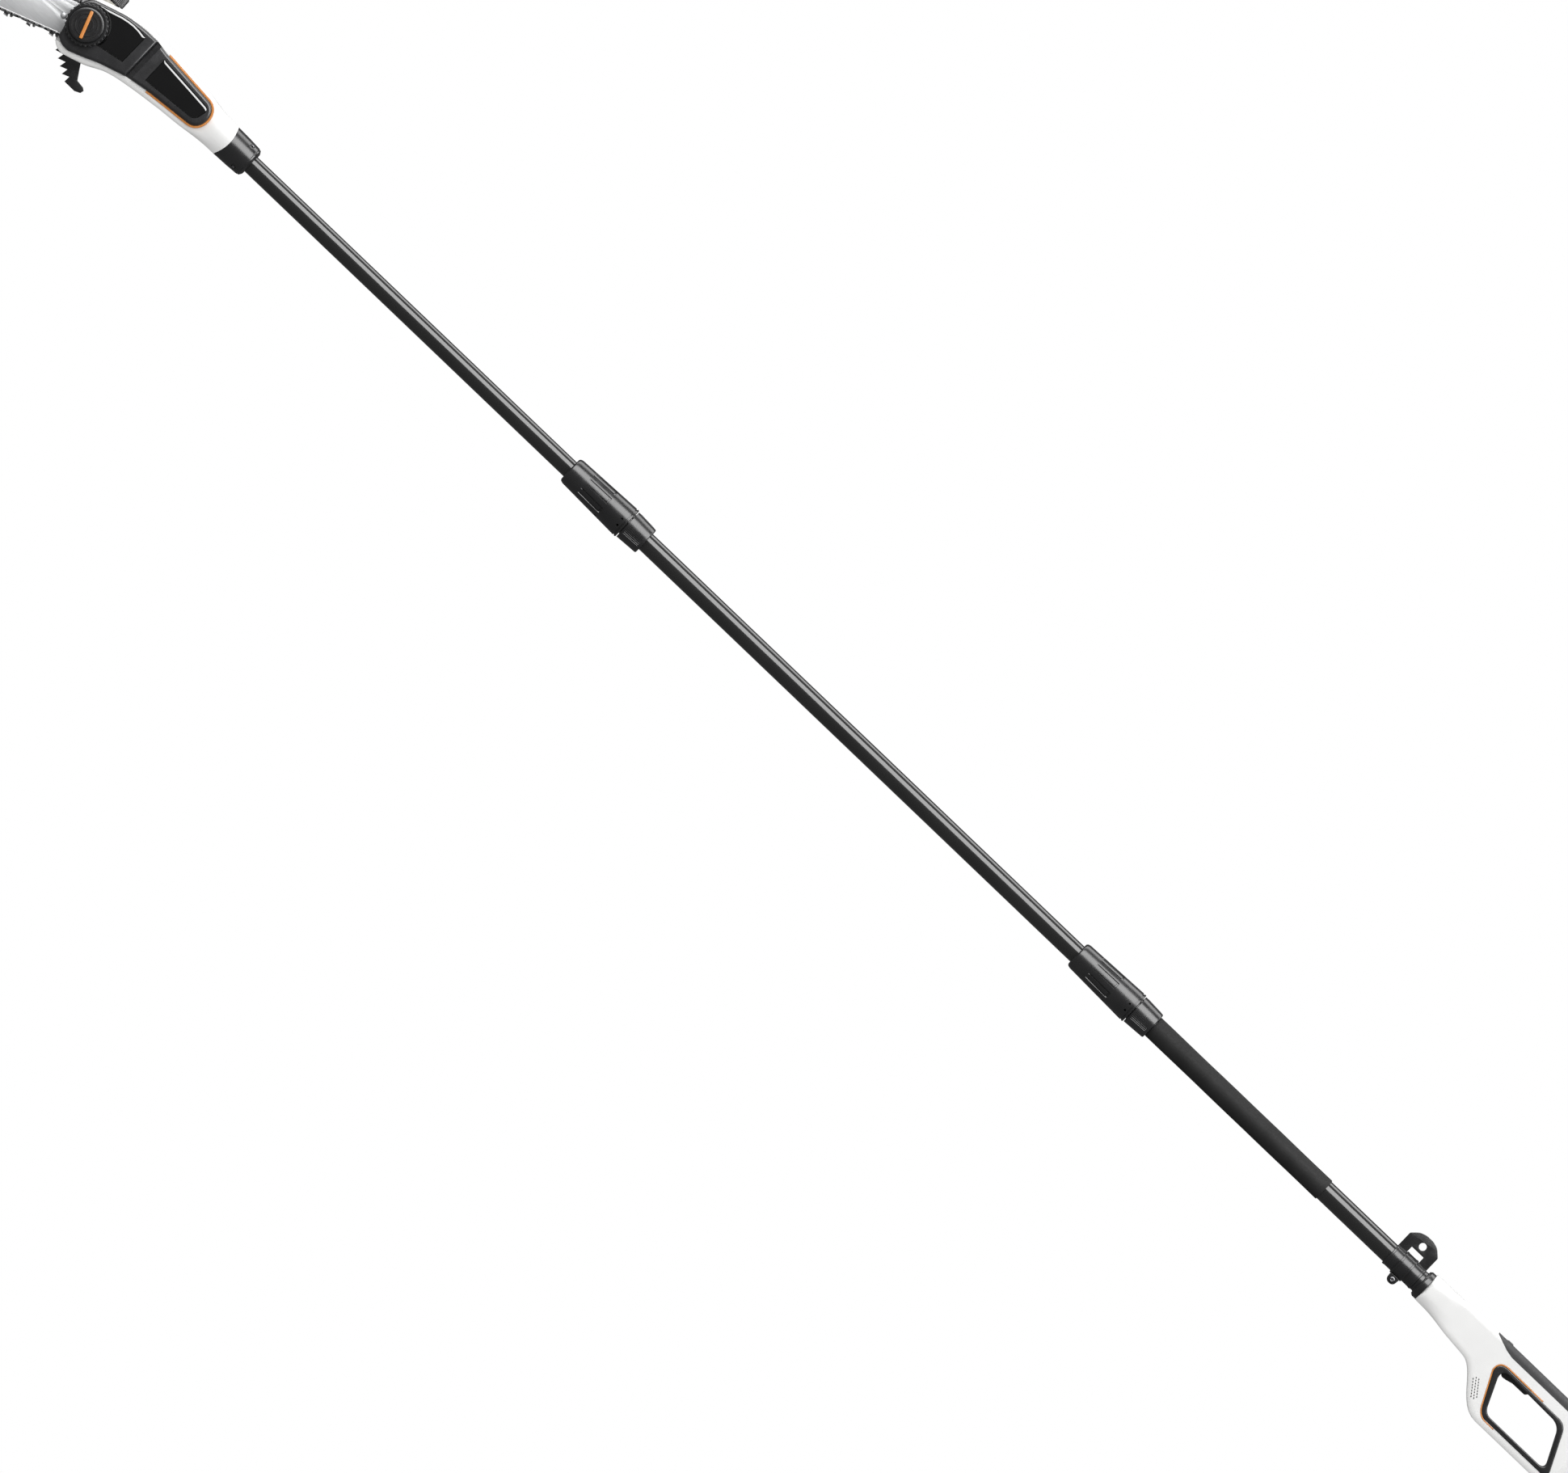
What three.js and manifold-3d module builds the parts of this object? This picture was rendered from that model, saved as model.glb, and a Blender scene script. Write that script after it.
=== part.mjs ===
// A battery pole saw with a telescoping pole, drawn at its longest.
// Millimetres. X runs along the pole with the saw head at -X, Z is up and the chain cover faces -Y.
// The origin is on the pole's axis, in the middle of the rear grip.
import * as THREE from 'three';
import { mergeVertices } from 'three/addons/utils/BufferGeometryUtils.js';
import Module from 'manifold-3d';

const wasm = await Module();
wasm.setup();

// ---- Driving dimensions ------------------------------------------------------------------------

// Clearances between pieces.
const fit = 0.3;            // between pieces that seat on each other
const tubeClearance = 0.2;  // around a tube that slides in a larger tube

// Pole tubes, from the thickest down.
const lowerTubeRadius = 16.2;
const tubeWall = 0.8;
const middleTubeRadius = lowerTubeRadius - tubeWall - tubeClearance;
const upperTubeRadius = middleTubeRadius - tubeWall - tubeClearance;
const upperVisible = 646.8;   // bare upper tube between the head and its lock
const middleVisible = 874.4;  // bare middle tube between the two locks
const tubeOverlap = 165;      // tube left inside the next one when the pole is at its longest
const bushLength = 20;
const bushFlange = 4;

// Twist locks.
const sleeveLength = 115.4;
const collarLength = 37.8;
const sleeveNose = lowerTubeRadius + 6.4;   // radius at the sleeve's front end
const sleeveJoint = lowerTubeRadius + 9.7;  // radius where the sleeve meets its collar
const collarFront = lowerTubeRadius + 8.1;
const collarRear = lowerTubeRadius + 6.2;
const sleeveLip = 5;
const spigotWall = 2.5;
const colletLength = 34;
const tubeEndInLock = 42;  // from the sleeve's nose to the end of the outer tube

// Foam sleeve, carry bracket and handle collar on the lower tube.
const housingFront = -218.6;
const foamRear = -425.2;
const foamLength = 346.4;
const foamThickness = 1.5;
const handleCollarRadius = 23.2;
const handleCollarLength = 10.5;
const neckLength = 5.6;
const neckRadius = 18;
const bracketCentre = -263;
const bracketWidth = 55.8;
const bracketWall = 2.2;
const bracketTop = 55.8;
const bracketShoulder = 42.3;
const bracketPlate = 4;
const eyeRadius = 5.75;
const eyeHeight = 39.6;
const slotWidth = 23.7;
const slotTop = 28.8;
const bandWidth = 21.4;
const bandWall = 1.4;
const bandSplit = 5.4;
const earThickness = 5;
const earRadius = 6.8;
const boltRadius = 2.5;
const boltDrop = 5.6;  // from the band down to the bolt's axis

// Rear handle.
const wall = 2.4;
const gripTop = 26;
const gripHalfWidth = 20;
const throatHalfWidth = 22.5;
const dockHalfWidth = 36;
const dockFace = 150;
const handleFloor = -92.4;
const stripBottom = 12.4;
const stripFront = -97;
const stripThickness = 2;
const linerProud = 1.5;
const trimThickness = 1.8;
const triggerWidth = 12;
const triggerPivot = [-50, 5];
const sliderWidth = 9.4;
const sliderRear = -66;
const sliderLength = 14;
const sliderTravel = 6;
const sliderTop = 28.1;

// Battery pack.
const packPadding = 3;      // round the cells
const packHeadroom = 15.8;  // above the cells, for the pack's own board
const packLatchRoom = 12.5; // behind the cells
const railHeight = 100;
const railDepth = 7;
const cellRadius = 9.4;
const cellPitch = 18.4;
const cellLength = 65;
const cellRows = 5;
const latchTravel = 3;

// Saw head, in its own coordinates: X = 0 is the rear end of the head collar.
const headFront = 30;   // half width towards the chain cover
const headBack = 38;    // half width on the other side
const headThroat = 27;  // half width where the pole comes in
const headWall = 2.6;
const collarGrip = 50;  // length of head collar that shows
const headCollarRadius = 25;
const coverFace = -38;      // outer face of the sprocket cover
const motorCoverFace = -36;
const coverWall = 2.5;
const coverSeat = -21.5;    // inner rim of both covers
const insetDepth = 1.5;     // depth of the recess for a glossy insert
const insetPlate = 1.2;
const trimFace = -31;
const trimWidth = 2.9;

// Guide bar, chain and drive, measured from the bar stud.
const studCentre = [-312.8, -19.1];
const barTilt = 20;
const barPlane = -17;
const barThickness = 1.5;
const barReach = 290;
const barHalf = 25;
const noseRadius = 22;
const chainWidth = 7;
const chainLink = 4.8;      // height of the links above the bar's edge
const cutterHeight = 8.8;
const cutterPitch = 37.3;
const sprocketOffset = 66;  // from the stud back to the drive sprocket
const sprocketRadius = 14.1;
const chainWrap = 15.2;
const shaftRadius = 5;
const studRadius = 4;
const shaftFit = 0.3;
const ringRadius = 32;
const ringDepth = 8;
const knobRadius = 26;
const knobDepth = 7.4;
const hubRadius = 11.6;
const nutRadius = 7.5;
const chamberFloor = -12.5;
const motorAxisY = 8;
const motorRadius = 22;
const motorFront = -200;
const motorLength = 65;
const motorShaft = 2.5;
const gearRadius = 21;
const pinionRadius = 6.5;
const gearTeeth = 24;
const pinionTeeth = 8;
const capCentre = [-310.5, 12];
const capRadius = 16.8;
const capBottom = 33;
const capHeight = 20;
const neckBore = 11.5;

// ---- Finishes ----------------------------------------------------------------------------------

const finishes = {
  whiteShell: { color: 0xf3f3f1, roughness: 0.35, metalness: 0 },
  blackPlastic: { color: 0x2b2b2c, roughness: 0.55, metalness: 0 },
  glossBlack: { color: 0x0a0a0b, roughness: 0.08, metalness: 0 },
  orange: { color: 0xe0913a, roughness: 0.4, metalness: 0 },
  paintedTube: { color: 0x2b2b2b, roughness: 0.25, metalness: 0.3 },
  foam: { color: 0x232323, roughness: 0.9, metalness: 0 },
  rubber: { color: 0x3a3a3b, roughness: 0.8, metalness: 0 },
  brightSteel: { color: 0xc9cacb, roughness: 0.25, metalness: 1 },
  darkSteel: { color: 0x55565a, roughness: 0.4, metalness: 1 },
  brass: { color: 0xb08d4a, roughness: 0.35, metalness: 1 },
  board: { color: 0x1e5c38, roughness: 0.6, metalness: 0 },
  cells: { color: 0x3c8f6a, roughness: 0.4, metalness: 0 },
  clearTank: { color: 0xd9d6cc, roughness: 0.4, metalness: 0 },
};

// ---- Solids ------------------------------------------------------------------------------------

// Six times the volume that the triangles enclose, negative when the faces point in.
function signedVolume(positions, index) {
  const corners = [new THREE.Vector3(), new THREE.Vector3(), new THREE.Vector3()];
  let sum = 0;
  for (let i = 0; i < index.length; i += 3) {
    corners.forEach((corner, k) => corner.fromArray(positions, index[i + k] * 3));
    sum += corners[0].dot(corners[1].clone().cross(corners[2]));
  }
  return sum;
}

// A solid from any closed three.js geometry, with its seams merged and its faces pointing out.
function solid(geometry) {
  geometry.deleteAttribute('normal');
  geometry.deleteAttribute('uv');
  const merged = mergeVertices(geometry, 1e-3);
  const positions = merged.attributes.position.array;
  const index = [];
  for (let i = 0; i < merged.index.count; i += 3) {
    const [a, b, c] = [0, 1, 2].map((k) => merged.index.getX(i + k));
    if (a !== b && b !== c && c !== a) {
      index.push(a, b, c);
    }
  }
  if (signedVolume(positions, index) < 0) {
    index.reverse();
  }
  const triVerts = new Uint32Array(index);
  return new wasm.Manifold(new wasm.Mesh({ numProp: 3, vertProperties: positions, triVerts }));
}

function geometryOf(shape) {
  const mesh = shape.getMesh();
  const geometry = new THREE.BufferGeometry();
  geometry.setAttribute('position', new THREE.BufferAttribute(mesh.vertProperties, 3));
  geometry.setIndex(new THREE.BufferAttribute(mesh.triVerts, 1));
  geometry.computeVertexNormals();
  return geometry;
}

function union(...shapes) {
  return shapes.reduce((whole, shape) => whole.add(shape));
}

function cut(shape, ...tools) {
  return tools.reduce((rest, tool) => rest.subtract(tool), shape);
}

// An outline in X and Z made into a slab from y0 to y1.
function slab(points, y0, y1) {
  const shape = new THREE.Shape(points.map((p) => new THREE.Vector2(...p)));
  const geometry = new THREE.ExtrudeGeometry(shape, { depth: y1 - y0, bevelEnabled: false });
  geometry.rotateX(Math.PI / 2);
  geometry.translate(0, y1, 0);
  return solid(geometry);
}

// An outline in X and Y made into a column from z0 to z1.
function column(points, z0, z1) {
  const shape = new THREE.Shape(points.map((p) => new THREE.Vector2(...p)));
  const geometry = new THREE.ExtrudeGeometry(shape, { depth: z1 - z0, bevelEnabled: false });
  geometry.translate(0, 0, z0);
  return solid(geometry);
}

function block(x0, x1, y0, y1, z0, z1) {
  const geometry = new THREE.BoxGeometry(x1 - x0, y1 - y0, z1 - z0);
  geometry.translate((x0 + x1) / 2, (y0 + y1) / 2, (z0 + z1) / 2);
  return solid(geometry);
}

// A turned piece. The profile holds [distance along the axis, radius] pairs.
function turned(profile, axis = 'x', centre = [0, 0, 0], segments = 28) {
  const points = profile.map(([along, radius]) => new THREE.Vector2(radius, along));
  const geometry = new THREE.LatheGeometry(points, segments);
  if (axis === 'x') {
    geometry.rotateZ(-Math.PI / 2);
  }
  if (axis === 'z') {
    geometry.rotateX(Math.PI / 2);
  }
  geometry.translate(...centre);
  return solid(geometry);
}

function rod(axis, centre, from, to, radius, segments = 20) {
  return turned([[from, 0], [from, radius], [to, radius], [to, 0]], axis, centre, segments);
}

function ring(axis, centre, from, to, inner, outer, segments = 28) {
  const profile = [[from, inner], [from, outer], [to, outer], [to, inner], [from, inner]];
  return turned(profile, axis, centre, segments);
}

// ---- Outlines ----------------------------------------------------------------------------------

// The points of an outline drawn with three.js path calls, counter-clockwise.
function outline(draw, divisions = 8) {
  const shape = new THREE.Shape();
  draw(shape);
  const points = shape.getPoints(divisions).map((p) => [p.x, p.y]);
  const [first, last] = [points[0], points[points.length - 1]];
  if (Math.hypot(first[0] - last[0], first[1] - last[1]) < 1e-6) {
    points.pop();
  }
  return THREE.ShapeUtils.area(points.map(([x, y]) => ({ x, y }))) < 0 ? points.reverse() : points;
}

// The outline moved in by a distance, or out where the distance is negative.
function inset(points, distance) {
  const count = points.length;
  return points.map((point, i) => {
    const before = points[(i + count - 1) % count];
    const after = points[(i + 1) % count];
    const a = new THREE.Vector2(point[0] - before[0], point[1] - before[1]).normalize();
    const b = new THREE.Vector2(after[0] - point[0], after[1] - point[1]).normalize();
    const stretch = distance / Math.max(1 + a.dot(b), 0.3);
    return [point[0] - (a.y + b.y) * stretch, point[1] + (a.x + b.x) * stretch];
  });
}

// Points turned by the guide bar's tilt, from [along the bar, across it] to the head's X and Z.
const tilt = THREE.MathUtils.degToRad(barTilt);
function onBar([along, across], start = studCentre) {
  const x = start[0] - along * Math.cos(tilt) - across * Math.sin(tilt);
  const z = start[1] - along * Math.sin(tilt) + across * Math.cos(tilt);
  return [x, z];
}

// ---- Scene graph -------------------------------------------------------------------------------

const saw = new THREE.Group();
const head = new THREE.Group();
saw.add(head);

function place(group, name, shape, finish) {
  const material = new THREE.MeshStandardMaterial(finishes[finish]);
  const mesh = new THREE.Mesh(geometryOf(shape), material);
  mesh.name = name;
  group.add(mesh);
}

// ---- Twist locks -------------------------------------------------------------------------------

// A lock's sleeve, collar and collet. inner is the sliding tube's radius, outer the fixed tube's.
function twistLock(name, nose, inner, outer) {
  const joint = nose + sleeveLength;
  const bore = inner + tubeClearance + 0.2;
  const chamber = outer + spigotWall + 2 * fit;
  const lipEnd = nose + sleeveLip;
  const tubeEnd = nose + tubeEndInLock;
  const sleeve = turned([
    [nose, bore],
    [nose, sleeveNose - 3],
    [nose + 6, sleeveNose],
    [joint - 4, sleeveJoint],
    [joint, sleeveJoint - 0.8],
    [joint, chamber],
    [lipEnd, chamber],
    [lipEnd, bore],
    [nose, bore],
  ]);
  place(saw, `${name}_lock_sleeve`, sleeve, 'blackPlastic');

  const collarStart = joint + fit;
  const collarEnd = joint + collarLength;
  const collar = turned([
    [tubeEnd + 2, outer + fit],
    [tubeEnd + 2, chamber - fit],
    [collarStart, chamber - fit],
    [collarStart, collarFront],
    [collarEnd - 2, collarRear],
    [collarEnd, collarRear - 2],
    [collarEnd, outer + fit],
    [tubeEnd + 2, outer + fit],
  ]);
  place(saw, `${name}_lock_collar`, collar, 'blackPlastic');

  const colletEnd = lipEnd + fit + colletLength;
  const wedge = ring('x', [0, 0, 0], lipEnd + fit, colletEnd, inner + 0.15, chamber - fit);
  const slit = block(lipEnd, colletEnd + 1, -1, 1, 0, chamber + 1);
  place(saw, `${name}_collet`, cut(wedge, slit), 'rubber');
}

function tube(name, front, rear, radius) {
  const shape = ring('x', [0, 0, 0], front, rear, radius - tubeWall, radius, 32);
  place(saw, name, shape, 'paintedTube');
}

// The plug in a sliding tube's rear end, whose flange runs in the larger tube.
function endBush(name, tubeEnd, radius) {
  const inside = radius - tubeWall - fit;
  const bush = turned([
    [tubeEnd - bushLength, inside - 3],
    [tubeEnd - bushLength, inside],
    [tubeEnd + fit, inside],
    [tubeEnd + fit, radius - 0.1],
    [tubeEnd + fit + bushFlange, radius - 0.1],
    [tubeEnd + fit + bushFlange, inside - 3],
    [tubeEnd - bushLength, inside - 3],
  ]);
  place(saw, name, bush, 'rubber');
}

const foamFront = foamRear - foamLength;
const lowerNose = foamFront - fit - collarLength - sleeveLength;
const upperNose = lowerNose - middleVisible - collarLength - sleeveLength;
const headRear = upperNose - upperVisible;
head.position.x = headRear;

const lowerTubeRear = housingFront + 88;
const middleTubeRear = lowerNose + tubeOverlap;
const upperTubeRear = upperNose + tubeOverlap;
const upperTubeFront = headRear - collarGrip + 4;

tube('lower_tube', lowerNose + tubeEndInLock, lowerTubeRear, lowerTubeRadius);
tube('middle_tube', upperNose + tubeEndInLock, middleTubeRear, middleTubeRadius);
tube('upper_tube', upperTubeFront, upperTubeRear, upperTubeRadius);
endBush('middle_tube_bush', middleTubeRear, middleTubeRadius);
endBush('upper_tube_bush', upperTubeRear, upperTubeRadius);
twistLock('upper', upperNose, upperTubeRadius, middleTubeRadius);
twistLock('lower', lowerNose, middleTubeRadius, lowerTubeRadius);

const tubeBore = lowerTubeRadius + fit;
const foam = ring('x', [0, 0, 0], foamFront, foamRear, tubeBore, tubeBore + foamThickness, 32);
place(saw, 'foam_sleeve', foam, 'foam');

// ---- Carry bracket and handle collar -----------------------------------------------------------

const ringOuter = tubeBore + bracketWall;
const bandInner = ringOuter + fit;
const bandOuter = bandInner + bandWall;
const boltHeight = bandOuter + boltDrop;
const bracketFront = bracketCentre - bracketWidth / 2;
const bracketRear = bracketCentre + bracketWidth / 2;

const plateOutline = outline((path) => {
  path.moveTo(bracketFront, tubeBore + 1);
  path.lineTo(bracketRear, tubeBore + 1);
  path.lineTo(bracketRear, bracketShoulder);
  const rise = bracketTop - bracketShoulder;
  const arc = (bracketWidth ** 2 / 4 + rise ** 2) / (2 * rise);
  const half = Math.asin(bracketWidth / 2 / arc);
  path.absarc(bracketCentre, bracketTop - arc, arc, Math.PI / 2 - half, Math.PI / 2 + half, false);
});
const bracketRing = ring('x', [0, 0, 0], bracketFront, bracketRear, tubeBore, ringOuter);
const bracketBody = union(bracketRing, slab(plateOutline, -bracketPlate / 2, bracketPlate / 2));
const eye = rod('y', [bracketCentre, 0, eyeHeight], -bracketPlate, bracketPlate, eyeRadius);
const strapSlot = block(
  bracketCentre - slotWidth / 2,
  bracketCentre + slotWidth / 2,
  -bracketPlate,
  bracketPlate,
  ringOuter,
  slotTop,
);
const ringSplit = block(bracketFront - 1, bracketRear + 1, -2, 2, -ringOuter - 1, 0);
place(saw, 'carry_bracket', cut(bracketBody, eye, strapSlot, ringSplit), 'blackPlastic');

const bandFront = bracketCentre - bandWidth / 2;
const bandRear = bracketCentre + bandWidth / 2;
const band = ring('x', [0, 0, 0], bandFront, bandRear, bandInner, bandOuter);
const earReach = bandSplit / 2 + earThickness;
const earOutline = outline((path) => {
  path.moveTo(bracketCentre - 8, -bandInner);
  path.lineTo(bracketCentre - earRadius, -boltHeight);
  path.absarc(bracketCentre, -boltHeight, earRadius, Math.PI, 2 * Math.PI, false);
  path.lineTo(bracketCentre + 8, -bandInner);
});
const ears = slab(earOutline, -earReach, earReach);
const bore = rod('x', [0, 0, 0], bandFront - 1, bandRear + 1, bandInner);
const earEnd = -boltHeight - earRadius - 1;
const split = block(bandFront - 1, bandRear + 1, -bandSplit / 2, bandSplit / 2, earEnd, 0);
const boltHole = rod('y', [bracketCentre, 0, -boltHeight], -20, 20, boltRadius + fit);
place(saw, 'bracket_band', cut(union(band, ears), bore, split, boltHole), 'blackPlastic');

const bolt = turned([
  [-earReach - fit - 3.5, 0],
  [-earReach - fit - 3.5, 3.2],
  [-earReach - fit - 2.8, 4.2],
  [-earReach - fit, 4.2],
  [-earReach - fit, boltRadius],
  [earReach + fit, boltRadius],
  [earReach + fit, 4.6],
  [earReach + fit + 4, 4.6],
  [earReach + fit + 4, 0],
], 'y', [bracketCentre, 0, -boltHeight], 24);
place(saw, 'bracket_bolt', bolt, 'darkSteel');

const collarBack = housingFront - fit;
const collarStart = collarBack - handleCollarLength;
const handleCollar = turned([
  [collarStart - neckLength, tubeBore],
  [collarStart - neckLength, neckRadius],
  [collarStart, neckRadius],
  [collarStart, handleCollarRadius - 2.5],
  [collarStart + 3.5, handleCollarRadius],
  [collarBack, handleCollarRadius],
  [collarBack, tubeBore],
  [collarStart - neckLength, tubeBore],
]);
place(saw, 'handle_collar', handleCollar, 'blackPlastic');

// ---- Rear handle -------------------------------------------------------------------------------

const throatTop = 25.4;
const throatBottom = -23.7;
const handleOutline = outline((path) => {
  path.moveTo(housingFront, throatBottom);
  path.lineTo(-111.7, -34.5);
  path.bezierCurveTo(-84, -36, -68, handleFloor, -30.5, handleFloor);
  path.lineTo(dockFace, handleFloor);
  path.lineTo(dockFace, gripTop);
  path.lineTo(stripFront, gripTop + 0.6);
  path.lineTo(housingFront, throatTop);
});
const handlePlan = [
  [housingFront, -throatHalfWidth],
  [-120, -gripHalfWidth],
  [104, -gripHalfWidth],
  [124, -dockHalfWidth],
  [dockFace, -dockHalfWidth],
  [dockFace, dockHalfWidth],
  [124, dockHalfWidth],
  [104, gripHalfWidth],
  [-120, gripHalfWidth],
  [housingFront, throatHalfWidth],
];

// The handle's body with its skin moved in by a distance.
function handleBody(distance) {
  const side = slab(inset(handleOutline, distance), -60, 60);
  return side.intersect(column(inset(handlePlan, distance), -120, 60));
}

// The hand opening's liner, outside and inside.
const linerOutline = outline((path) => {
  path.moveTo(-48, -3.4);
  path.quadraticCurveTo(-66, -3.4, -64.3, -19);
  path.lineTo(-40, -68);
  path.quadraticCurveTo(-33, -81.2, -20, -81.2);
  path.lineTo(86, -81.2);
  path.quadraticCurveTo(103, -81.2, 97, -68);
  path.lineTo(72, -15.5);
  path.quadraticCurveTo(66.5, -5, 54, -4.4);
});
const openingOutline = outline((path) => {
  path.moveTo(-42, -9.4);
  path.quadraticCurveTo(-56, -10, -51.5, -24);
  path.lineTo(-33.5, -64);
  path.quadraticCurveTo(-28.5, -73.4, -18, -73.4);
  path.lineTo(78, -73.4);
  path.quadraticCurveTo(91, -73.4, 87, -63);
  path.lineTo(67.5, -23);
  path.quadraticCurveTo(62, -13, 50, -11.4);
});
const linerHalf = gripHalfWidth + linerProud;
const triggerSlot = [triggerPivot[0] - 8, 1, -triggerWidth / 2 - fit, triggerWidth / 2 + fit];
const linerWhole = slab(linerOutline, -linerHalf, linerHalf);
const opening = slab(openingOutline, -60, 60);
place(
  saw,
  'opening_liner',
  cut(linerWhole, opening, block(...triggerSlot, -26, 0)),
  'blackPlastic',
);

// The orange line runs round the liner's front side, from the top edge to the bottom edge.
function trimBand(grow) {
  const outside = slab(inset(linerOutline, -fit - trimThickness - grow), -linerHalf, linerHalf);
  const inside = slab(inset(linerOutline, -fit + grow), -40, 40);
  const front = slab([
    [-90, -100],
    [-5 + grow, -100],
    [-5 + grow, -60],
    [-45, -40],
    [-45, -20],
    [20 + grow, -20],
    [20 + grow, 10],
    [-90, 10],
  ], -linerHalf + 1 - grow, linerHalf - 1 + grow);
  return cut(outside, inside).intersect(front);
}
place(saw, 'handle_trim', cut(trimBand(0), block(...triggerSlot, -26, 0)), 'orange');

// The rubber strip wraps the top of the grip.
const stripRegion = (grow) => slab([
  [stripFront - grow, gripTop + 2],
  [stripFront + 26 - grow, stripBottom + 3 - grow],
  [stripFront + 34 - grow, stripBottom - grow],
  [dockFace - 6 + grow, stripBottom - grow],
  [dockFace - 6 + grow, gripTop + 2],
], -60, 60);
const sliderSlot = block(
  sliderRear - sliderLength - sliderTravel - fit,
  sliderRear + fit,
  -sliderWidth / 2 - fit,
  sliderWidth / 2 + fit,
  10,
  40,
);
const strip = cut(
  handleBody(0).intersect(stripRegion(0)),
  handleBody(stripThickness),
  sliderSlot,
);
place(saw, 'grip_strip', strip, 'rubber');

// Hollows and cut-outs that both housing shells share.
const handleHollow = cut(
  handleBody(wall + stripThickness),
  slab(inset(linerOutline, -wall - trimThickness), -60, 60),
);
const terminalDrop = 40;
const terminalRise = 10;
const terminalHalf = 14;
const terminalWindow = block(
  dockFace - 20,
  dockFace + 1,
  -terminalHalf - fit,
  terminalHalf + fit,
  -terminalDrop - fit,
  -terminalRise + fit,
);
const triggerPinRadius = 2;
const bossStart = triggerWidth / 2 + 5;
const pinReach = bossStart + 3.5;
const pinPlace = [triggerPivot[0], 0, triggerPivot[1]];
const triggerPinHole = rod('y', pinPlace, -pinReach, pinReach, triggerPinRadius + fit);
const housingCuts = [
  handleHollow,
  slab(inset(linerOutline, -fit), -60, 60),
  trimBand(fit),
  cut(stripRegion(fit), handleBody(stripThickness + fit)),
  sliderSlot,
  terminalWindow,
  block(...triggerSlot, -26, 10),
  rod('x', [0, 0, 0], housingFront - 1, -60, tubeBore),
];

// Two rails with inward lips hold the battery on the dock's face.
const railInner = 21;
const railLip = 3;
const railOuter = 27;
function rail(side) {
  const points = [
    [dockFace - 1, side * (railInner + railLip)],
    [dockFace + railDepth - 3, side * (railInner + railLip)],
    [dockFace + railDepth - 3, side * railInner],
    [dockFace + railDepth, side * railInner],
    [dockFace + railDepth, side * railOuter],
    [dockFace - 1, side * railOuter],
  ];
  return column(points, gripTop - 6 - railHeight, gripTop - 6);
}

// A boss on each half carries one end of the trigger's pin.
const pinBoss = (y0, y1) => block(
  triggerPivot[0] - 4,
  triggerPivot[0] + 4,
  y0,
  y1,
  triggerPivot[1] - 3.5,
  triggerPivot[1] + 5,
);
const bossEnd = gripHalfWidth - wall;
const housing = cut(
  union(
    cut(union(handleBody(0), rail(-1), rail(1)), ...housingCuts),
    pinBoss(-bossEnd, -bossStart),
    pinBoss(bossStart, bossEnd),
  ),
  triggerPinHole,
);
const handleHalf = (y0, y1) => block(housingFront - 9, dockFace + 20, y0, y1, -120, 60);
place(saw, 'handle_shell_front', housing.intersect(handleHalf(-60, -fit / 2)), 'whiteShell');
place(saw, 'handle_shell_back', housing.intersect(handleHalf(fit / 2, 60)), 'whiteShell');

// The trigger hangs through the liner and turns on a pin at its front end.
const triggerOutline = [
  [triggerPivot[0] - 6, -3],
  [-49.5, -18.6],
  [-30, -14.6],
  [-6, -14.4],
  [-1.6, -9.2],
  [-3, 1],
  [-10, 3],
  [-36, 4],
  [triggerPivot[0] + 6, triggerPivot[1] + 4],
  [triggerPivot[0], triggerPivot[1] + 5],
  [triggerPivot[0] - 5, triggerPivot[1] + 2],
];
const triggerBlade = slab(triggerOutline, -triggerWidth / 2, triggerWidth / 2);
const triggerPin = rod('y', pinPlace, -pinReach + fit, pinReach - fit, triggerPinRadius, 16);
place(saw, 'trigger', union(triggerBlade, triggerPin), 'blackPlastic');

// A coil of spring wire around the pin, with one turn about every wire thickness.
class SpringPath extends THREE.Curve {
  constructor(radius, turns, pitch) {
    super();
    Object.assign(this, { radius, turns, pitch });
  }

  getPoint(t) {
    const angle = 2 * Math.PI * this.turns * t;
    const x = this.radius * Math.cos(angle);
    const z = this.radius * Math.sin(angle);
    return new THREE.Vector3(x, this.pitch * this.turns * t, z);
  }
}
const springWire = 0.45;
const springTurns = 2.5;
const wireSection = new THREE.Shape();
wireSection.absarc(0, 0, springWire, 0, 2 * Math.PI, false);
const springGeometry = new THREE.ExtrudeGeometry(wireSection, {
  steps: 24,
  curveSegments: 3,
  bevelEnabled: false,
  extrudePath: new SpringPath(triggerPinRadius + 1.2, springTurns, 1.3),
});
springGeometry.translate(triggerPivot[0], triggerWidth / 2 + 1, triggerPivot[1]);
place(saw, 'trigger_spring', solid(springGeometry), 'brightSteel');

// The lock-off slider's foot is wider than its button, so it stays in the housing.
const sliderFront = sliderRear - sliderLength;
const sliderButton = block(
  sliderFront,
  sliderRear,
  -sliderWidth / 2,
  sliderWidth / 2,
  gripTop - 8,
  sliderTop,
);
const sliderFoot = block(sliderFront - 3, sliderRear + 3, -8, 8, gripTop - 8, gripTop - 5.5);
place(saw, 'lock_off_slider', union(sliderButton, sliderFoot), 'blackPlastic');

place(saw, 'switch_body', union(
  block(-38, -6, -8, 8, 8, 17),
  block(-32, -26, -3, 3, 6.4, 9),
), 'blackPlastic');
place(saw, 'control_board', block(112, 140, 18, 19.6, -76, 8), 'board');

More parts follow.
